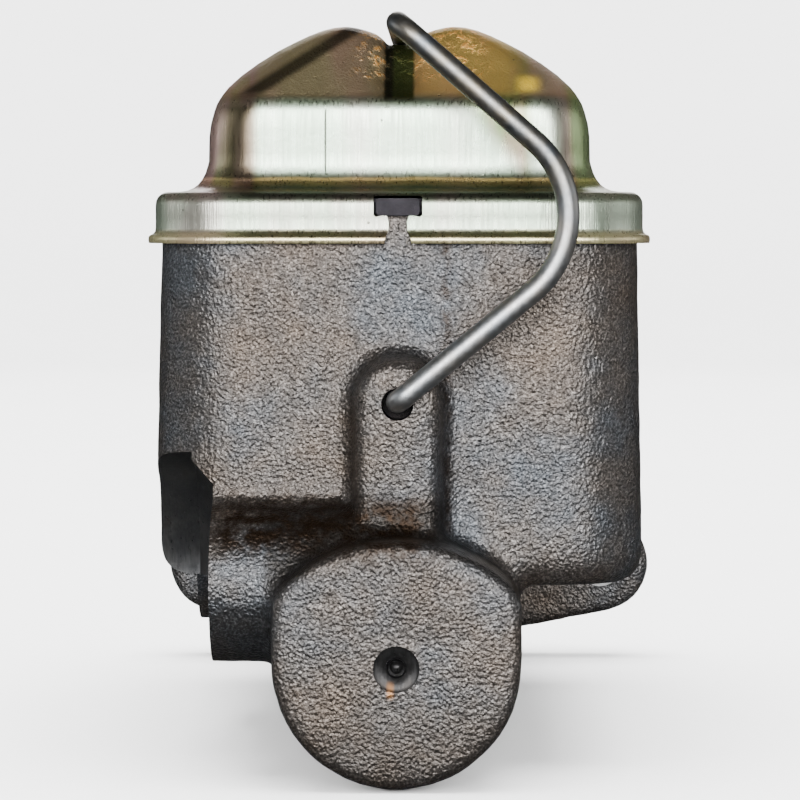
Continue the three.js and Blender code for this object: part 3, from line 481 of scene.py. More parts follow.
def coverLevels(c):
    # one (height, half width, half length, corner) row per ring of the grid, from the lip inwards
    rimX, rimY = c["rimHalf"]
    rows = [(z, rimX + out, rimY + out, c["rimCorner"] + out, n) for z, out, n in c["skirt"]]
    foot = c["rimCorner"] - c["domeCorner"]
    for z, x, y, n in c["dome"]:
        spread = max(0, min(1, (x - c["domeHalf"]) / (rimX - c["domeHalf"])))
        rows.append((z, x, y, (c["domeCorner"] + foot * spread) * min(1, x / c["domeHalf"]), n))
    levels = [rows[0][:4]]
    for last, row in zip(rows, rows[1:]):
        for i in range(1, row[4] + 1):
            levels.append(tuple(a + (b - a) * i / row[4] for a, b in zip(last, row[:4])))
    return levels


def onRing(level, a, b):
    # a and b run over a square's edge; the point lies on the ring's rounded rectangle
    z, halfX, halfY, corner = level
    corner = min(corner, halfX, halfY)
    x, y = abs(a) * halfX, abs(b) * halfY
    overX, overY = x - (halfX - corner), y - (halfY - corner)
    if corner > 0 and overX > 0 and overY > 0:
        share = min(overX, overY) / corner
        angle = math.radians(90 - 45 * share if abs(b) >= abs(a) else 45 * share)
        x, y = halfX - corner + corner * math.cos(angle), halfY - corner + corner * math.sin(angle)
    return Vector((math.copysign(x, a), math.copysign(y, b), z))


def makeCover():
    c = zincCover
    levels = coverLevels(c)
    count = len(levels) - 1
    startClean()
    bpy.ops.mesh.primitive_grid_add(x_subdivisions=2 * count, y_subdivisions=2 * count, size=2)
    cover = bpy.context.object
    cover.name = "zincCover"
    for vertex in cover.data.vertices:
        a, b = vertex.co.x, vertex.co.y
        reach = max(abs(a), abs(b))
        level = levels[min(count, round((1 - reach) * count))]
        point = onRing(level, a / reach, b / reach) if reach > 0.001 else Vector((0, 0, level[0]))
        fade = max(0, min(1, (point.z - 98) / 8))
        point.z -= between(c["valley"], abs(point.x)) * fade * fade * (3 - 2 * fade)
        vertex.co = Vector((point.x, point.y + c["middle"], point.z)) * mm
    makeActive(cover)
    bpy.ops.object.mode_set(mode="EDIT")
    bpy.ops.mesh.select_all(action="SELECT")
    bpy.ops.mesh.normals_make_consistent(inside=False)
    bpy.ops.object.mode_set(mode="OBJECT")
    applyModifier(cover, "SOLIDIFY", thickness=c["sheet"] * mm, offset=-1, use_even_offset=True)
    cutAway(cover, [keyholeCutter(c)])
    cover.data.materials.clear()
    cover.data.materials.append(zincPlate())
    smoothByAngle(cover, 50)
    finishPiece(cover, "cover", "cover")
    print("cover done", len(cover.data.polygons))


def keyholeCutter(c):
    # the window for the gasket's tab with the hourglass slit below it, through both end skirts
    right = [(4.3, 81.0), (4.3, 77.9), (3.9, 77.5), *c["slit"]]
    outline = [(3.9, 81.25), *right] + [(-x, z) for x, z in reversed(right)] + [(-3.9, 81.25)]
    return prismAlongY("keyhole", outline, -190, -28)


# the bail
bailWire = {"radius": 1.985, "tipRound": 0.8, "play": 2.25, "shoulderBend": 17.1, "topBend": 4.5,
            "elbow": (39.07, 77.3), "pivotZ": 45.3, "topZ": 111.285, "frontY": -189.5, "rearY": -28.5,
            "frontTip": -180.1, "rearTip": -37.9}


def filletedPath(corners):
    # straights between (point, bend radius) corners, each inner corner rounded, as a list of points
    points = [Vector(corners[0][0])]
    for (before, _), (corner, radius), (after, _) in zip(corners, corners[1:], corners[2:]):
        corner = Vector(corner)
        back, on = (Vector(before) - corner).normalized(), (Vector(after) - corner).normalized()
        half = back.angle(on) / 2
        centre = corner + (back + on).normalized() * radius / math.sin(half)
        start = corner + back * radius / math.tan(half) - centre
        end = corner + on * radius / math.tan(half) - centre
        steps = max(8, round(radius * 2))
        for i in range(steps + 1):
            points.append(centre + start.slerp(end, i / steps, start).normalized() * radius)
    points.append(Vector(corners[-1][0]))
    return points


def tubeAlong(name, points, radius, sides=4):
    # a round wire through the points, closed at its ends
    startClean()
    curve = bpy.data.curves.new(name, "CURVE")
    curve.dimensions = "3D"
    line = curve.splines.new("POLY")
    line.points.add(len(points) - 1)
    for place, point in zip(line.points, points):
        place.co = (*[value * mm for value in point], 1)
    curve.bevel_depth = radius * mm
    curve.bevel_resolution = sides
    curve.use_fill_caps = True
    piece = bpy.data.objects.new(name, curve)
    bpy.context.scene.collection.objects.link(piece)
    makeActive(piece)
    bpy.ops.object.convert(target="MESH")
    piece = bpy.context.object
    bpy.ops.object.mode_set(mode="EDIT")
    bpy.ops.mesh.select_all(action="SELECT")
    bpy.ops.mesh.remove_doubles(threshold=0.000001)
    bpy.ops.mesh.normals_make_consistent(inside=False)
    bpy.ops.object.mode_set(mode="OBJECT")
    return piece


def makeBail():
    c = bailWire
    x, z = c["elbow"]
    front, rear = c["frontY"], c["rearY"]
    corners = [((0, c["frontTip"], c["pivotZ"]), 0), ((0, front, c["pivotZ"]), c["play"]),
               ((x, front, z), c["shoulderBend"]), ((0, front, c["topZ"]), c["topBend"]),
               ((0, rear, c["topZ"]), c["topBend"]), ((x, rear, z), c["shoulderBend"]),
               ((0, rear, c["pivotZ"]), c["play"]), ((0, c["rearTip"], c["pivotZ"]), 0)]
    wire = tubeAlong("bailWire", filletedPath(corners), c["radius"], 7)
    tips = (c["frontTip"], c["rearTip"])
    bevelEdges(wire, c["tipRound"], 3,
               lambda at, along: at.z < 50 and min(abs(at.y - tip) for tip in tips) < 0.01)
    wire.data.materials.append(brightZinc())
    smoothByAngle(wire, 40)
    finishPiece(wire, "bail", "bail_wire")
    print("bail done", len(wire.data.polygons))


# the diaphragm gasket under the cover
rubberDiaphragm = {"low": 78.0, "high": 80.8, "half": (42.2, 69.6), "corner": 12.6, "middle": -109,
                   "bellowsHalf": 35.3, "bellows": ((-173.5, -113.5), (-104.5, -44.5)), "bellowsCorner": 8,
                   "tabHalf": 3.8, "tabReach": 72.1, "wall": 1.6,
                   # inset, lowest and highest place of each fold
                   "folds": ((0, 73.5, 79.5), (3.2, 69.5, 75.5), (6.4, 64.3, 71.5))}


def makeDiaphragm():
    c = rubberDiaphragm
    middle, (halfX, halfY) = c["middle"], c["half"]
    plate = roundedBlock("rubberDiaphragm", (-halfX, middle - halfY, c["low"]),
                         (halfX, middle + halfY, c["high"]), c["corner"], 0, 0)
    bevelEdges(plate, 0.4, 2, lambda at, along: abs(along.z) < 0.01)
    tab = addBlock("tab", (-c["tabHalf"], middle - c["tabReach"], c["low"] - 0.2),
                   (c["tabHalf"], middle + c["tabReach"], c["high"]))
    bevelEdges(tab, 0.6, 3, lambda at, along: abs(along.y) > 0.9 * along.length)
    parts, pockets = [tab], []
    half, wall = c["bellowsHalf"], c["wall"]
    for front, rear in c["bellows"]:
        for inset, low, high in c["folds"]:
            corner = max(3, c["bellowsCorner"] - inset / 2)
            parts.append(roundedBlock("fold", (-half + inset, front + inset, low),
                                      (half - inset, rear - inset, high), corner, 1.4, 0))
            inner = inset + wall
            pockets.append(roundedBlock("pocket", (-half + inner, front + inner, low + wall),
                                        (half - inner, rear - inner, 86), corner - 1.2, 0.8, 0))
    cutAway(plate, parts, "UNION")
    cutAway(plate, pockets)
    plate.data.materials.clear()
    plate.data.materials.append(mouldedRubber("diaphragmRubber", (0.009, 0.008, 0.01, 1), 0.85))
    smoothByAngle(plate, 40)
    finishPiece(plate, "cover", "diaphragm_gasket")
    print("diaphragm done", len(plate.data.polygons))


# what shows in the bore and the outlets
inBore = {"piston": 12.55, "waist": 8.55, "tail": 9.2, "socket": 6.6, "stub": 6.5,
          "springMean": 9.2, "springWire": 1.1, "valveSpringWire": 0.3, "valveLift": 0.8}


def makePrimaryPiston():
    r, waist, tail, socket, stub = (inBore[key] for key in ("piston", "waist", "tail", "socket", "stub"))
    outline = [
        (0, -21.5), (socket * 0.45, -20.9), (socket * 0.8, -19.2), (socket, -16.5), (socket, 7.7),
        (socket + 0.8, 8.5), (tail - 0.6, 8.5), (tail, 7.9), (tail, 2.2), (tail + 0.5, 1.5), (r - 0.5, 1.5),
        (r, 1.0), (r, -3.6), (r - 0.4, -4), (waist, -4), (waist, -8.8), (r - 0.4, -8.8), (r, -9.2),
        (r, -11.6), (r - 0.4, -12), (waist, -14.8), (waist, -49), (r - 0.4, -51), (r, -51.4), (r, -54.6),
        (r - 0.4, -55), (stub, -55), (stub, -62.5), (stub - 0.6, -63.0), (2.2, -63.0), (2.2, -54.8), (0, -54.2)]
    piston = spinOutline("primaryPistonTurned", outline, "y", (0, 0), 96)
    piston.data.materials.append(turnedMetal("turnedAluminium", (0.6, 0.61, 0.62, 1), 0.3, "y"))
    smoothByAngle(piston, 30)
    finishPiece(piston, "primary_piston", "primary_piston")


def makeStops():
    # the washer and the snap ring that keep the primary piston in
    washer = spinOutline("stopWasherTurned", [
        (9.6, 1.9), (9.6, 3.1), (9.8, 3.3), (13.8, 3.3), (14.0, 3.1), (14.0, 1.9), (13.9, 1.8), (9.7, 1.8)],
        "y", (0, 0), 96)
    washer.data.materials.append(turnedMetal("washerSteel", (0.5, 0.51, 0.52, 1), 0.34, "y"))
    smoothByAngle(washer, 30)
    finishPiece(washer, "housing", "stop_washer")
    ring = spinOutline("snapRingPressed", [
        (12.8, 3.7), (12.8, 5.1), (12.95, 5.2), (15.25, 5.2), (15.4, 5.1), (15.4, 3.7), (15.25, 3.6),
        (12.95, 3.6)], "y", (0, 0), 120)
    gap = prismAlongY("ringGap", [(11, -3.6), (18, -4.6), (18, 4.6), (11, 3.6)], 2, 7)
    cutAway(ring, [gap])
    ears = []
    for side in (-1, 1):
        ear = addRod("ringEar", "y", 2.0, 3.62, 5.18, (12.4, side * 5.4), 32)
        cutAway(ear, [addRod("earHole", "y", 0.8, 3, 6, (12.4, side * 5.4), 24)])
        ears.append(ear)
    cutAway(ring, ears, "UNION")
    ring.data.materials.clear()
    ring.data.materials.append(springSteel())
    smoothByAngle(ring, 30)
    finishPiece(ring, "housing", "snap_ring")
    print("stops done")


def makeSeat(name, node, outlet):
    y, shoulder = outlet["y"], outlet["face"] + casting["portDepth"]
    outline = [(1.5, shoulder + 3.5), (3.9, shoulder + 3.5), (4.2, shoulder + 3.2), (4.2, shoulder - 1.5),
               (2.2, shoulder - 3.9), (1.9, shoulder - 4), (1.5, shoulder - 3.8)]
    seat = spinOutline(name, outline, "x", (y, casting["outletZ"]), 64)
    seat.data.materials.append(turnedMetal("turnedBrass" + name, (0.66, 0.47, 0.2, 1), 0.3, "x"))
    smoothByAngle(seat, 30)
    finishPiece(seat, "housing", node)


def makeStopScrew():
    low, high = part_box("piston_stop_screw")
    y = (low.y + high.y) / 2 / mm
    shank = spinOutline("stopScrewCut", [
        (0, 8.9), (1.5, 8.9), (1.8, 9.2), (1.8, 13.4), (2.5, 14.0), (2.5, 19.3), (0, 19.3)], "z", (0, y), 32)
    startClean()
    bpy.ops.mesh.primitive_cylinder_add(vertices=6, radius=4.55 * mm, depth=3.9 * mm,
                                        rotation=(0, 0, math.pi / 6), location=(0, y * mm, 21.1 * mm))
    hexagon = applyPlace(bpy.context.object)
    bevelEdges(hexagon, 0.3, 2, lambda at, along: True)
    cutAway(shank, [hexagon], "UNION")
    shank.data.materials.clear()
    shank.data.materials.append(brightZinc())
    smoothByAngle(shank, 30)
    finishPiece(shank, "housing", "piston_stop_screw")
    seal = spinOutline("stopSealTurned", [
        (2.9, 17.85), (4.45, 17.85), (4.6, 18.0), (4.6, 18.6), (4.45, 18.75), (2.9, 18.75)], "z", (0, y), 48)
    seal.data.materials.append(turnedMetal("annealedCopper", (0.6, 0.31, 0.19, 1), 0.4, "z"))
    smoothByAngle(seal, 30)
    finishPiece(seal, "housing", "stop_screw_seal")


def coilPoints(mean, low, high, turns, wire):
    # one closed turn at each end, open turns between
    dead = 2.2 * wire
    low, high = low + wire, high - wire
    active = (high - low - 2 * dead) / (turns - 2)
    points, steps = [], 24
    for i in range(round(turns * steps) + 1):
        turn = i / steps
        first, middle, last = min(turn, 1), max(0, min(turn, turns - 1) - 1), max(0, turn - turns + 1)
        rise = (first + last) * dead + middle * active
        angle = 2 * math.pi * turn
        points.append((mean * math.cos(angle), low + rise, mean * math.sin(angle)))
    return points


def makeSprings():
    mean, wire = inBore["springMean"], inBore["springWire"]
    for name, node, body, joint, turns, anchorAtFront, keep in (
            ("primaryCoil", "primary_spring", "primary_piston", "primary_stroke", 8.5, False, 0.66),
            ("secondaryCoil", "secondary_spring", "housing", "secondary_stroke", 7.5, True, 0.63)):
        low, high = [corner.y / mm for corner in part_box(node)]
        coil = tubeAlong(name, coilPoints(mean, low + 0.02, high - 0.02, turns, wire), wire, 3)
        coil.data.materials.append(springSteel())
        smoothByAngle(coil, 60)
        finishPiece(coil, body, node)
        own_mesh(coil)
    print("springs done")


def makeValveSpring():
    # the small coil behind the residual valve, along the front outlet
    wire, lift = inBore["valveSpringWire"], inBore["valveLift"]
    low, high = [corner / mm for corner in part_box("residual_valve_spring")]
    mean, y, z = (high.z - low.z) / 2 - wire, (low.y + high.y) / 2, (low.z + high.z) / 2
    points = [(along, y + across, z + up)
              for across, along, up in coilPoints(mean, low.x + 0.02, high.x - 0.02, 5.5, wire)]
    coil = tubeAlong("valveCoil", points, wire, 3)
    coil.data.materials.append(springSteel())
    smoothByAngle(coil, 60)
    finishPiece(coil, "housing", "residual_valve_spring")
    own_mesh(coil)


# materials, all on the object's own coordinates in millimetres
def startMaterial(name, metallic, roughness):
    material = bpy.data.materials.new(name)
    material.use_nodes = True
    tree = material.node_tree
    shader = tree.nodes["Principled BSDF"]
    shader.inputs["Metallic"].default_value = metallic
    shader.inputs["Roughness"].default_value = roughness
    coordinates = tree.nodes.new("ShaderNodeTexCoord")
    scaled = tree.nodes.new("ShaderNodeMapping")
    scaled.inputs["Scale"].default_value = (1000, 1000, 1000)
    tree.links.new(coordinates.outputs["Object"], scaled.inputs["Vector"])
    return material, tree, shader, scaled.outputs["Vector"]


def noise(tree, place, scale, detail=2, roughness=0.5, stretch=None, distortion=0):
    if stretch:
        mapping = tree.nodes.new("ShaderNodeMapping")
        mapping.inputs["Scale"].default_value = stretch
        tree.links.new(place, mapping.inputs["Vector"])
        place = mapping.outputs["Vector"]
    node = tree.nodes.new("ShaderNodeTexNoise")
    node.inputs["Scale"].default_value = scale
    node.inputs["Detail"].default_value = detail
    node.inputs["Roughness"].default_value = roughness
    node.inputs["Distortion"].default_value = distortion
    tree.links.new(place, node.inputs["Vector"])
    return node.outputs["Fac"]


def cells(tree, place, scale, feature="F1"):
    node = tree.nodes.new("ShaderNodeTexVoronoi")
    node.feature = feature
    node.inputs["Scale"].default_value = scale
    tree.links.new(place, node.inputs["Vector"])
    return node.outputs["Distance"]


def ramp(tree, factor, stops):
    node = tree.nodes.new("ShaderNodeValToRGB")
    elements = node.color_ramp.elements
    while len(elements) < len(stops):
        elements.new(0.5)
    for element, (position, colour) in zip(elements, stops):
        element.position = position
        element.color = colour if isinstance(colour, tuple) else (colour, colour, colour, 1)
    tree.links.new(factor, node.inputs["Fac"])
    return node.outputs["Color"]


def feed(tree, socket, value):
    if isinstance(value, (int, float, tuple)):
        socket.default_value = value
    else:
        tree.links.new(value, socket)


def maths(tree, operation, *values):
    node = tree.nodes.new("ShaderNodeMath")
    node.operation = operation
    for socket, value in zip(node.inputs, values):
        feed(tree, socket, value)
    return node.outputs[0]


def mixed(tree, factor, first, second, blend="MIX"):
    node = tree.nodes.new("ShaderNodeMix")
    node.data_type = "RGBA"
    node.blend_type = blend
    feed(tree, node.inputs[0], factor)
    feed(tree, node.inputs[6], first)
    feed(tree, node.inputs[7], second)
    return node.outputs[2]


def rising(tree, value, low, high):
    node = tree.nodes.new("ShaderNodeMapRange")
    node.interpolation_type = "SMOOTHSTEP"
    feed(tree, node.inputs["Value"], value)
    node.inputs["From Min"].default_value = low
    node.inputs["From Max"].default_value = high
    return node.outputs["Result"]


def joined(operation):
    # a helper that folds any number of values with one operation
    def fold(tree, first, *others):
        for value in others:
            first = maths(tree, operation, first, value)
        return first
    return fold


times, plus, less, most = joined("MULTIPLY"), joined("ADD"), joined("SUBTRACT"), joined("MAXIMUM")


def band(tree, value, low, high, soft):
    return times(tree, rising(tree, value, low - soft, low + soft),
                 rising(tree, value, high + soft, high - soft))


def apart(tree, place):
    node = tree.nodes.new("ShaderNodeSeparateXYZ")
    tree.links.new(place, node.inputs["Vector"])
    return node.outputs


def bumped(tree, shader, height, strength, depth):
    node = tree.nodes.new("ShaderNodeBump")
    node.inputs["Strength"].default_value = strength
    node.inputs["Distance"].default_value = depth * mm
    tree.links.new(height, node.inputs["Height"])
    tree.links.new(node.outputs["Normal"], shader.inputs["Normal"])


def painted(tree, shader, colour, rough):
    tree.links.new(colour, shader.inputs["Base Color"])
    tree.links.new(rough, shader.inputs["Roughness"])


ironTones = {
    "grey": (0.068, 0.073, 0.08, 1), "warm": (0.076, 0.07, 0.066, 1), "brown": (0.084, 0.068, 0.056, 1),
    "paintedShade": (0.016, 0.014, 0.012, 1), "rustAndShade": (0.02, 0.012, 0.007, 1), "run": (0.3, 0.14, 0.05, 1),
    "holeShade": (0.006, 0.005, 0.005, 1), "cut": ((0.17, 0.175, 0.185), (0.25, 0.25, 0.25), (0.2, 0.17, 0.14)),
}


def rustRun(tree, place):
    # a small orange run out of the centre drilling
    x, y, z = apart(tree, place)
    return times(tree, band(tree, x, -1.6, -0.5, 0.4), band(tree, z, -5.0, -2.4, 0.6),
                 rising(tree, y, -194, -196), 0.75)


def paintedShadeMask(tree, x, y, z):
    # painted shade: a painted shadow on the barrel's shoulder, painted shade under the front outlet boss, and
    # darker towards the bottom of the barrel
    shoulder = times(tree, band(tree, y, -199.0, -182.5, 0.8), rising(tree, z, 9, 15),
                     rising(tree, z, 29, 26), rising(tree, x, -24, -22))
    underBoss = times(tree, rising(tree, x, -12, -15), rising(tree, z, 11, 9.5), 0.62,
                      band(tree, y, -193, -163, 1))
    lowDown = times(tree, rising(tree, z, 0, -20), 0.4)
    return most(tree, times(tree, most(tree, shoulder, underBoss), 0.72), lowDown)


def rustAndShadeMask(tree, place, x, y, z):
    # rust with painted shade on the outlet boss under the reservoir, and painted shade beside the front rib
    onBoss = times(tree, band(tree, z, 19, 28, 3), band(tree, x, -33, 6, 4), rising(tree, y, -178, -181))
    besideRib = times(tree, band(tree, x, 7.8, 9.3, 1), rising(tree, y, -183, -180.5), 0.8)
    return times(tree, plus(tree, onBoss, besideRib),
                 rising(tree, noise(tree, place, 0.35, 4, 0.6), 0.32, 0.6))


def castIron():
    material, tree, shader, place = startMaterial("castIron", 0.9, 0.4)
    x, y, z = apart(tree, place)
    tones = ironTones
    base = ramp(tree, noise(tree, place, 0.04, 4, 0.6),
                [(0.36, tones["grey"]), (0.5, tones["warm"]), (0.66, tones["brown"])])
    speckle = ramp(tree, noise(tree, place, 2.4, 1, 0.6), [(0.35, 0.7), (0.52, 1.0), (0.7, 2.1)])
    colour = mixed(tree, 1.0, base, speckle, "MULTIPLY")
    # painted shade and a painted shadow on the shoulder, under the outlet boss and low on the barrel
    colour = mixed(tree, paintedShadeMask(tree, x, y, z), colour, tones["paintedShade"])
    # rust with painted shade on the outlet boss, and painted shade beside the rib
    colour = mixed(tree, rustAndShadeMask(tree, place, x, y, z), colour, tones["rustAndShade"])
    colour = mixed(tree, rustRun(tree, place), colour, tones["run"])
    painted(tree, shader, colour, ramp(tree, noise(tree, place, 0.6, 3), [(0.35, 0.3), (0.65, 0.42)]))
    peel = plus(tree, times(tree, noise(tree, place, 1.7, 0), 0.65),
                times(tree, noise(tree, place, 3.3, 1), 0.35))
    bumped(tree, shader, peel, 1.0, 0.34)
    return material


def machinedIron(name, shine):
    material, tree, shader, place = startMaterial(name, 0.9, 0.36)
    lines = noise(tree, place, 1.0, 3, 0.6, (3.0, 3.0, 0.25))
    tones = [tuple(value * shine for value in tone) + (1,) for tone in ironTones["cut"]]
    colour = ramp(tree, noise(tree, place, 0.12, 4, 0.6), list(zip((0.35, 0.55, 0.72), tones)))
    colour = mixed(tree, 0.25, colour, ramp(tree, lines, [(0.3, 0.12 * shine), (0.7, 0.34 * shine)]))
    colour = mixed(tree, rustRun(tree, place), colour, ironTones["run"])
    if shine < 1:
        # painted shade in the pivot holes and the centre drilling
        x, y, z = apart(tree, place)
        pivots = times(tree, band(tree, x, -3.2, 3.2, 0.2), band(tree, z, 41.6, 48.1, 0.2))
        dish = times(tree, rising(tree, y, -194, -196), 0.6)
        colour = mixed(tree, most(tree, pivots, dish), colour, ironTones["holeShade"])
    painted(tree, shader, colour, ramp(tree, lines, [(0.3, 0.26), (0.7, 0.46)]))
    bumped(tree, shader, lines, 0.25, 0.08)
    return material


zincTones = {
    "gold": (0.6, 0.48, 0.22, 1), "pale": (0.27, 0.31, 0.24, 1), "brown": (0.09, 0.07, 0.03, 1),
    "amber": (0.8, 0.55, 0.15, 1), "umber": (0.3, 0.24, 0.1, 1), "silver": (0.44, 0.54, 0.42, 1),
    "olive": (0.3, 0.34, 0.22, 1), "bronze": (0.42, 0.26, 0.1, 1), "footLine": (0.9, 0.58, 0.12, 1),
    # the chromate's clouds on the wall, and painted reflection round its corners
    "wall": ((0.62, 0.5, 0.5, 1), (0.5, 0.56, 0.46, 1), (0.4, 0.53, 0.4, 1)),
    "corner": ((0.2, 0.27, 0.08, 1), (0.3, 0.22, 0.12, 1), (0.42, 0.24, 0.22, 1)),
    "shade": (0.08, 0.07, 0.035, 1), "giltReflection": (0.75, 0.43, 0.1, 1), "highlightSpot": (1.0, 0.68, 0.06, 1),
    "crescentReflection": (0.02, 0.017, 0.01, 1), "glints": (1.0, 0.5, 0.12, 1), "marks": (0.06, 0.055, 0.045, 1),
    # painted shade for the bail's valley
    "valley": ((0.01, 0.016, 0.01, 1), (0.045, 0.07, 0.02, 1)),
}


def zincWall(tree, place, x, z, footLine, level):
    # the plate's colour by height, its pale and dark bands partly painted reflection, then the clouds, and
    # painted reflection and painted shade at the corners
    tones = zincTones
    share = maths(tree, "DIVIDE", less(tree, level, 72), 41)
    heights = ((0.0, "gold"), (0.06, "gold"), (0.085, "pale"), (0.19, "pale"), (0.22, "brown"),
               (0.262, "brown"), (0.284, "amber"), (0.296, "umber"), (0.325, "silver"), (0.61, "silver"),
               (0.64, "olive"), (0.665, "bronze"), (1.0, "bronze"))
    colour = ramp(tree, share, [(at, tones[name]) for at, name in heights])
    colour = mixed(tree, footLine, colour, tones["footLine"])
    places = (0.4, 0.5, 0.6)
    wallTint = ramp(tree, noise(tree, place, 0.055, 2, 0.5, (1.5, 0.5, 0.4)),
                    list(zip(places, tones["wall"])))
    colour = mixed(tree, 0.3, colour, wallTint)
    cornerReflection = ramp(tree, noise(tree, place, 0.09, 2, 0.5, (1.6, 0.6, 0.3)),
                      list(zip(places, tones["corner"])))
    # painted reflection round the wall's corners, and a painted shadow of the bail in a sloped patch to the
    # right
    lean = plus(tree, x, times(tree, less(tree, z, 86), 0.75))
    sidelong = times(tree, rising(tree, lean, 19, 24), rising(tree, x, 24.5, 22))
    corner = most(tree, rising(tree, x, -24.4, -27), rising(tree, x, 27, 31), sidelong)
    colour = mixed(tree, times(tree, corner, rising(tree, z, 81, 84), 0.75), colour, cornerReflection)
    shade = times(tree, band(tree, x, -31.5, -25.6, 1.6), band(tree, z, 84, 97.4, 0.8), 0.75)
    return mixed(tree, shade, colour, tones["shade"])


def slopeMasks(tree, place, x, z, width):
    # the pressed slope's painted reflections: dark crescent to the left, bright crumpled gold to the right,
    # partly the plate's own colour, a bright spot and glints
    onSlope = rising(tree, z, 98, 100.5)
    outward = plus(tree, width, times(tree, less(tree, z, 99), 1.5))
    return {
        "onSlope": onSlope,
        "giltReflection": times(tree, band(tree, x, 1.5, 22, 4), onSlope),
        "highlightSpot": times(tree, band(tree, x, 21.5, 25, 1.5), band(tree, z, 100, 102.6, 1)),
        "crescentReflection": times(tree, band(tree, outward, 25.2, 29.5, 1.4), onSlope, rising(tree, x, 2, -4)),
        "glints": times(tree, rising(tree, noise(tree, place, 0.55, 4, 0.7), 0.5, 0.64),
                        band(tree, x, -7, 15, 3), rising(tree, z, 101, 103.5)),
    }


def zincPlate():
    material, tree, shader, place = startMaterial("yellowZinc", 1.0, 0.3)
    x, _, z = apart(tree, place)
    width = maths(tree, "ABSOLUTE", x)
    cloud = noise(tree, place, 0.09, 4, 0.6)
    level = plus(tree, z, times(tree, less(tree, cloud, 0.5), 0.9))
    footLine = band(tree, level, 83.9, 84.5, 0.25)
    colour = zincWall(tree, place, x, z, footLine, level)
    masks = slopeMasks(tree, place, x, z, width)
    onSlope, giltReflection, glints = masks["onSlope"], masks["giltReflection"], masks["glints"]
    # the slope's painted reflections and painted glints go into its colour
    for name, strength in (("giltReflection", 0.6), ("highlightSpot", 1), ("crescentReflection", 0.85), ("glints", 0.8)):
        colour = mixed(tree, times(tree, masks[name], strength), colour, zincTones[name])
    # painted shade along the bail's valley, near black to the left and dark green to the right
    valley = times(tree, rising(tree, width, 3.1, 2.3), rising(tree, z, 97.6, 99.2), 0.95)
    colour = mixed(tree, valley, colour, mixed(tree, rising(tree, x, -1.5, -0.6), *zincTones["valley"]))
    pits = rising(tree, cells(tree, place, 0.2), 0.055, 0.03)
    scratch = times(tree, band(tree, x, -13.15, -12.95, 0.08), band(tree, z, 86, 96.8, 0.8))
    marks = most(tree, times(tree, pits, 0.6), times(tree, scratch, 0.8))
    colour = mixed(tree, marks, colour, zincTones["marks"])
    brush = noise(tree, place, 1.0, 3, 0.6, (2.6, 2.6, 0.09))
    rough = plus(tree, ramp(tree, brush, [(0.3, 0.24), (0.7, 0.4)]), times(tree, onSlope, 0.14))
    painted(tree, shader, colour, rough)
    # a thin haze, a little less than metal, lets the slope and the corners take soft light
    haze = plus(tree, times(tree, onSlope, 0.022), times(tree, giltReflection, 0.02), times(tree, glints, 0.025),
                times(tree, rising(tree, width, 25, 34), 0.06),
                times(tree, most(tree, footLine, masks["highlightSpot"]), 0.06))
    tree.links.new(less(tree, 1.0, haze), shader.inputs["Metallic"])
    crease = plus(tree, times(tree, glints, 0.6), times(tree, onSlope, 0.35), 0.04)
    crumple = times(tree, noise(tree, place, 0.4, 3, 0.65, None, 0.6), crease)
    grain = times(tree, noise(tree, place, 2.4, 2, 0.6), onSlope, 0.2)
    brushed = times(tree, brush, plus(tree, times(tree, rising(tree, z, 82, 80), 0.1), 0.02))
    height = less(tree, plus(tree, brushed, grain, crumple), times(tree, marks, 0.15))
    bumped(tree, shader, height, 0.7, 0.9)
    return material


def brightZinc():
    material, tree, shader, place = startMaterial("brightZinc", 1.0, 0.26)
    cloud = noise(tree, place, 0.2, 3)
    litTone = ramp(tree, cloud, [(0.3, (0.4, 0.43, 0.46, 1)), (0.7, (0.52, 0.5, 0.47, 1))])
    shadedTone = ramp(tree, cloud, [(0.3, (0.2, 0.22, 0.24, 1)), (0.7, (0.27, 0.24, 0.19, 1))])
    fine = noise(tree, place, 0.9, 4, 0.6)
    # painted light and shade: the wire is lighter below 66 mm and darker above 92 mm
    painted(tree, shader, mixed(tree, rising(tree, apart(tree, place)["Z"], 66, 92), litTone, shadedTone),
            ramp(tree, fine, [(0.3, 0.36), (0.7, 0.5)]))
    bumped(tree, shader, fine, 0.12, 0.08)
    return material


def springSteel():
    material, tree, shader, place = startMaterial("springSteel", 1.0, 0.35)
    cloud = noise(tree, place, 0.25, 3)
    fine = noise(tree, place, 2.5, 3, 0.6)
    painted(tree, shader, ramp(tree, cloud, [(0.3, (0.14, 0.14, 0.15, 1)), (0.7, (0.24, 0.235, 0.23, 1))]),
            ramp(tree, fine, [(0.3, 0.26), (0.7, 0.44)]))
    bumped(tree, shader, fine, 0.2, 0.06)
    return material


def turnedMetal(name, colour, roughness, axis):
    # lathe lines run round the named axis
    material, tree, shader, place = startMaterial(name, 1.0, roughness)
    stretch = {"x": (9, 0.15, 0.15), "y": (0.15, 9, 0.15), "z": (0.15, 0.15, 9)}[axis]
    lines = noise(tree, place, 1.0, 2, 0.6, stretch)
    darker = tuple(value * 0.72 for value in colour[:3]) + (1,)
    painted(tree, shader, ramp(tree, lines, [(0.3, darker), (0.65, colour)]),
            ramp(tree, lines, [(0.3, roughness + 0.12), (0.7, roughness - 0.06)]))
    bumped(tree, shader, lines, 0.25, 0.06)
    return material


def mouldedRubber(name, colour, roughness):
    material, tree, shader, place = startMaterial(name, 0.0, roughness)
    shader.inputs["Specular IOR Level"].default_value = 0.2
    cloud = noise(tree, place, 0.3, 4, 0.6)
    lighter = tuple(value * 1.7 for value in colour[:3]) + (1,)
    fine = noise(tree, place, 2.2, 3, 0.6)
    painted(tree, shader, ramp(tree, cloud, [(0.35, colour), (0.7, lighter)]),
            ramp(tree, fine, [(0.3, roughness - 0.1), (0.7, roughness + 0.12)]))
    bumped(tree, shader, fine, 0.3, 0.12)
    return material


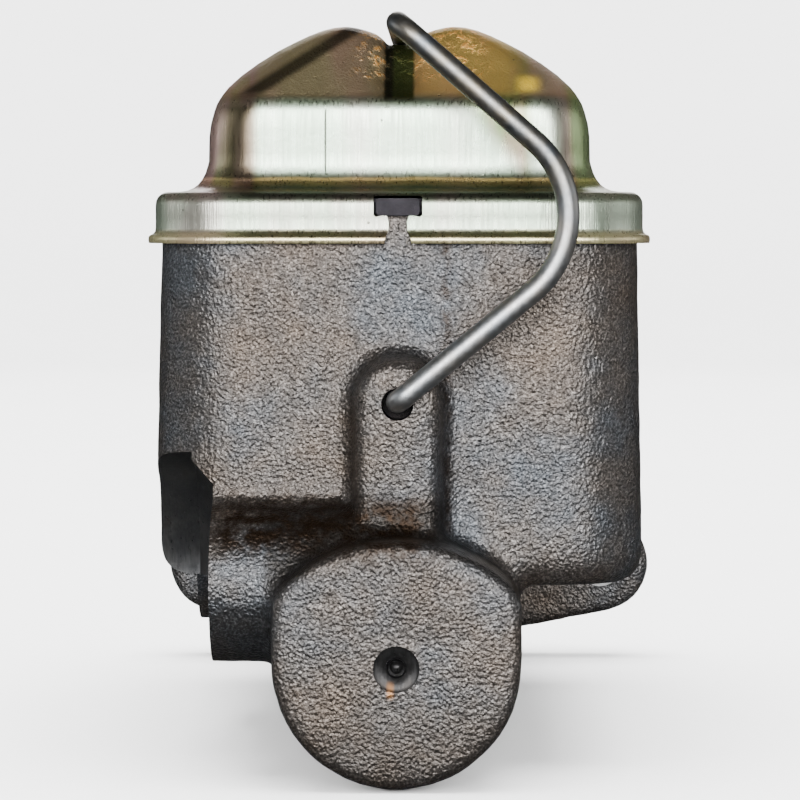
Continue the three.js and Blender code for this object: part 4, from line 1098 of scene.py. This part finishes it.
def dressInnerParts():
    # the frame's own parts that stay take a procedural finish each
    cupRubber = mouldedRubber("cupRubber", (0.015, 0.015, 0.017, 1), 0.45)
    zinc = brightZinc()
    aluminium = turnedMetal("turnedAluminiumInner", (0.6, 0.61, 0.62, 1), 0.3, "y")
    looks = {
        "residual_valve": cupRubber, "primary_rear_seal": cupRubber,
        "primary_cup_washer": zinc, "primary_cup": cupRubber, "primary_spring_seat": zinc,
        "primary_spring_screw": zinc, "primary_spring_cage": zinc, "secondary_piston": aluminium,
        "secondary_rear_cup": cupRubber, "secondary_middle_cup": cupRubber, "secondary_cup_washer": zinc,
        "secondary_front_cup": cupRubber, "secondary_spring_seat": zinc,
    }
    for node, look in looks.items():
        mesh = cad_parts[node].data
        mesh.materials.clear()
        mesh.materials.append(look)


# floor, lights and camera
studio = {"floorZ": -21.5, "floorReach": 2600, "floorSweep": 900, "floorColour": (0.9, 0.9, 0.9, 1),
          "keyPower": 50, "backPower": 8, "sidePower": 3, "washPower": 325, "world": 0.04,
          "cameraPlace": (9, -800, 77), "aim": (0.65, -200, 46.3), "lens": 158.4}


def makeFloor(c):
    # a level round floor that sweeps up into a backdrop on every side
    low, reach, sweep = c["floorZ"], c["floorReach"], c["floorSweep"]
    outline = [(0, low)]
    for i in range(17):
        angle = math.radians(-90 + 90 * i / 16)
        outline.append((reach - sweep + sweep * math.cos(angle), low + sweep + sweep * math.sin(angle)))
    outline += [(reach, low + 4000), (reach + 20, low + 4000), (reach + 20, low - 20), (0, low - 20)]
    floor = spinOutline("studioFloor", outline, "z", (0, -100), 96)
    smoothByAngle(floor, 60)
    material, tree, shader, place = startMaterial("paleFloor", 0.0, 0.7)
    dust = noise(tree, place, 0.01, 3)
    light = c["floorColour"]
    tree.links.new(ramp(tree, dust, [(0.3, light), (0.7, tuple(v * 0.985 for v in light[:3]) + (1,))]),
                   shader.inputs["Base Color"])
    floor.data.materials.append(material)
    floor.visible_glossy = False


def addLamp(name, place, aim, size, power, colour=(1, 1, 1)):
    startClean()
    bpy.ops.object.light_add(type="AREA", location=place)
    lamp = bpy.context.object
    lamp.name = name
    lamp.data.shape = "RECTANGLE"
    lamp.data.size, lamp.data.size_y = size
    lamp.data.energy = power
    lamp.data.color = colour
    lamp.visible_camera = False
    lamp.rotation_euler = (Vector(aim) - Vector(place)).to_track_quat("-Z", "Y").to_euler()
    return lamp


def makeStudio():
    c = studio
    makeFloor(c)
    addLamp("keyFront", (0.02, -1.6, 0.36), (0, -0.2, 0.05), (1.8, 0.5), c["keyPower"])
    wash = addLamp("roomWash", (0, -0.1, 2.6), (0, -0.1, 0), (2.6, 2.6), c["washPower"])
    wash.visible_glossy = False
    for side in (-1, 1):
        addLamp("sideFill", (side * 1.5, -0.1, 0.35), (0, -0.1, 0.05), (1.2, 0.5), c["sidePower"])
    addLamp("keyBack", (0, 1.5, 0.8), (0, -0.1, 0.05), (0.8, 0.8), c["backPower"])
    world = bpy.data.worlds.new("dimStudio")
    bpy.context.scene.world = world
    world.use_nodes = True
    world.node_tree.nodes["Background"].inputs["Color"].default_value = (1, 1, 1, 1)
    world.node_tree.nodes["Background"].inputs["Strength"].default_value = c["world"]
    startClean()
    bpy.ops.object.camera_add(location=[value * mm for value in c["cameraPlace"]])
    camera = bpy.context.object
    camera.data.lens = c["lens"]
    camera.data.sensor_width = 36
    camera.data.clip_end = 50
    aim = (Vector(c["aim"]) - Vector(c["cameraPlace"])) * mm
    camera.rotation_euler = aim.to_track_quat("-Z", "Y").to_euler()
    bpy.context.scene.camera = camera


makeBody()
makeCover()
makeBail()
makeDiaphragm()
makePrimaryPiston()
makeStops()
makeSeat("frontSeatTurned", "front_tube_seat", casting["front"])
makeSeat("rearSeatTurned", "rear_tube_seat", casting["rear"])
makeStopScrew()
makeSprings()
makeValveSpring()
dressInnerParts()
print("inner parts done")
makeStudio()
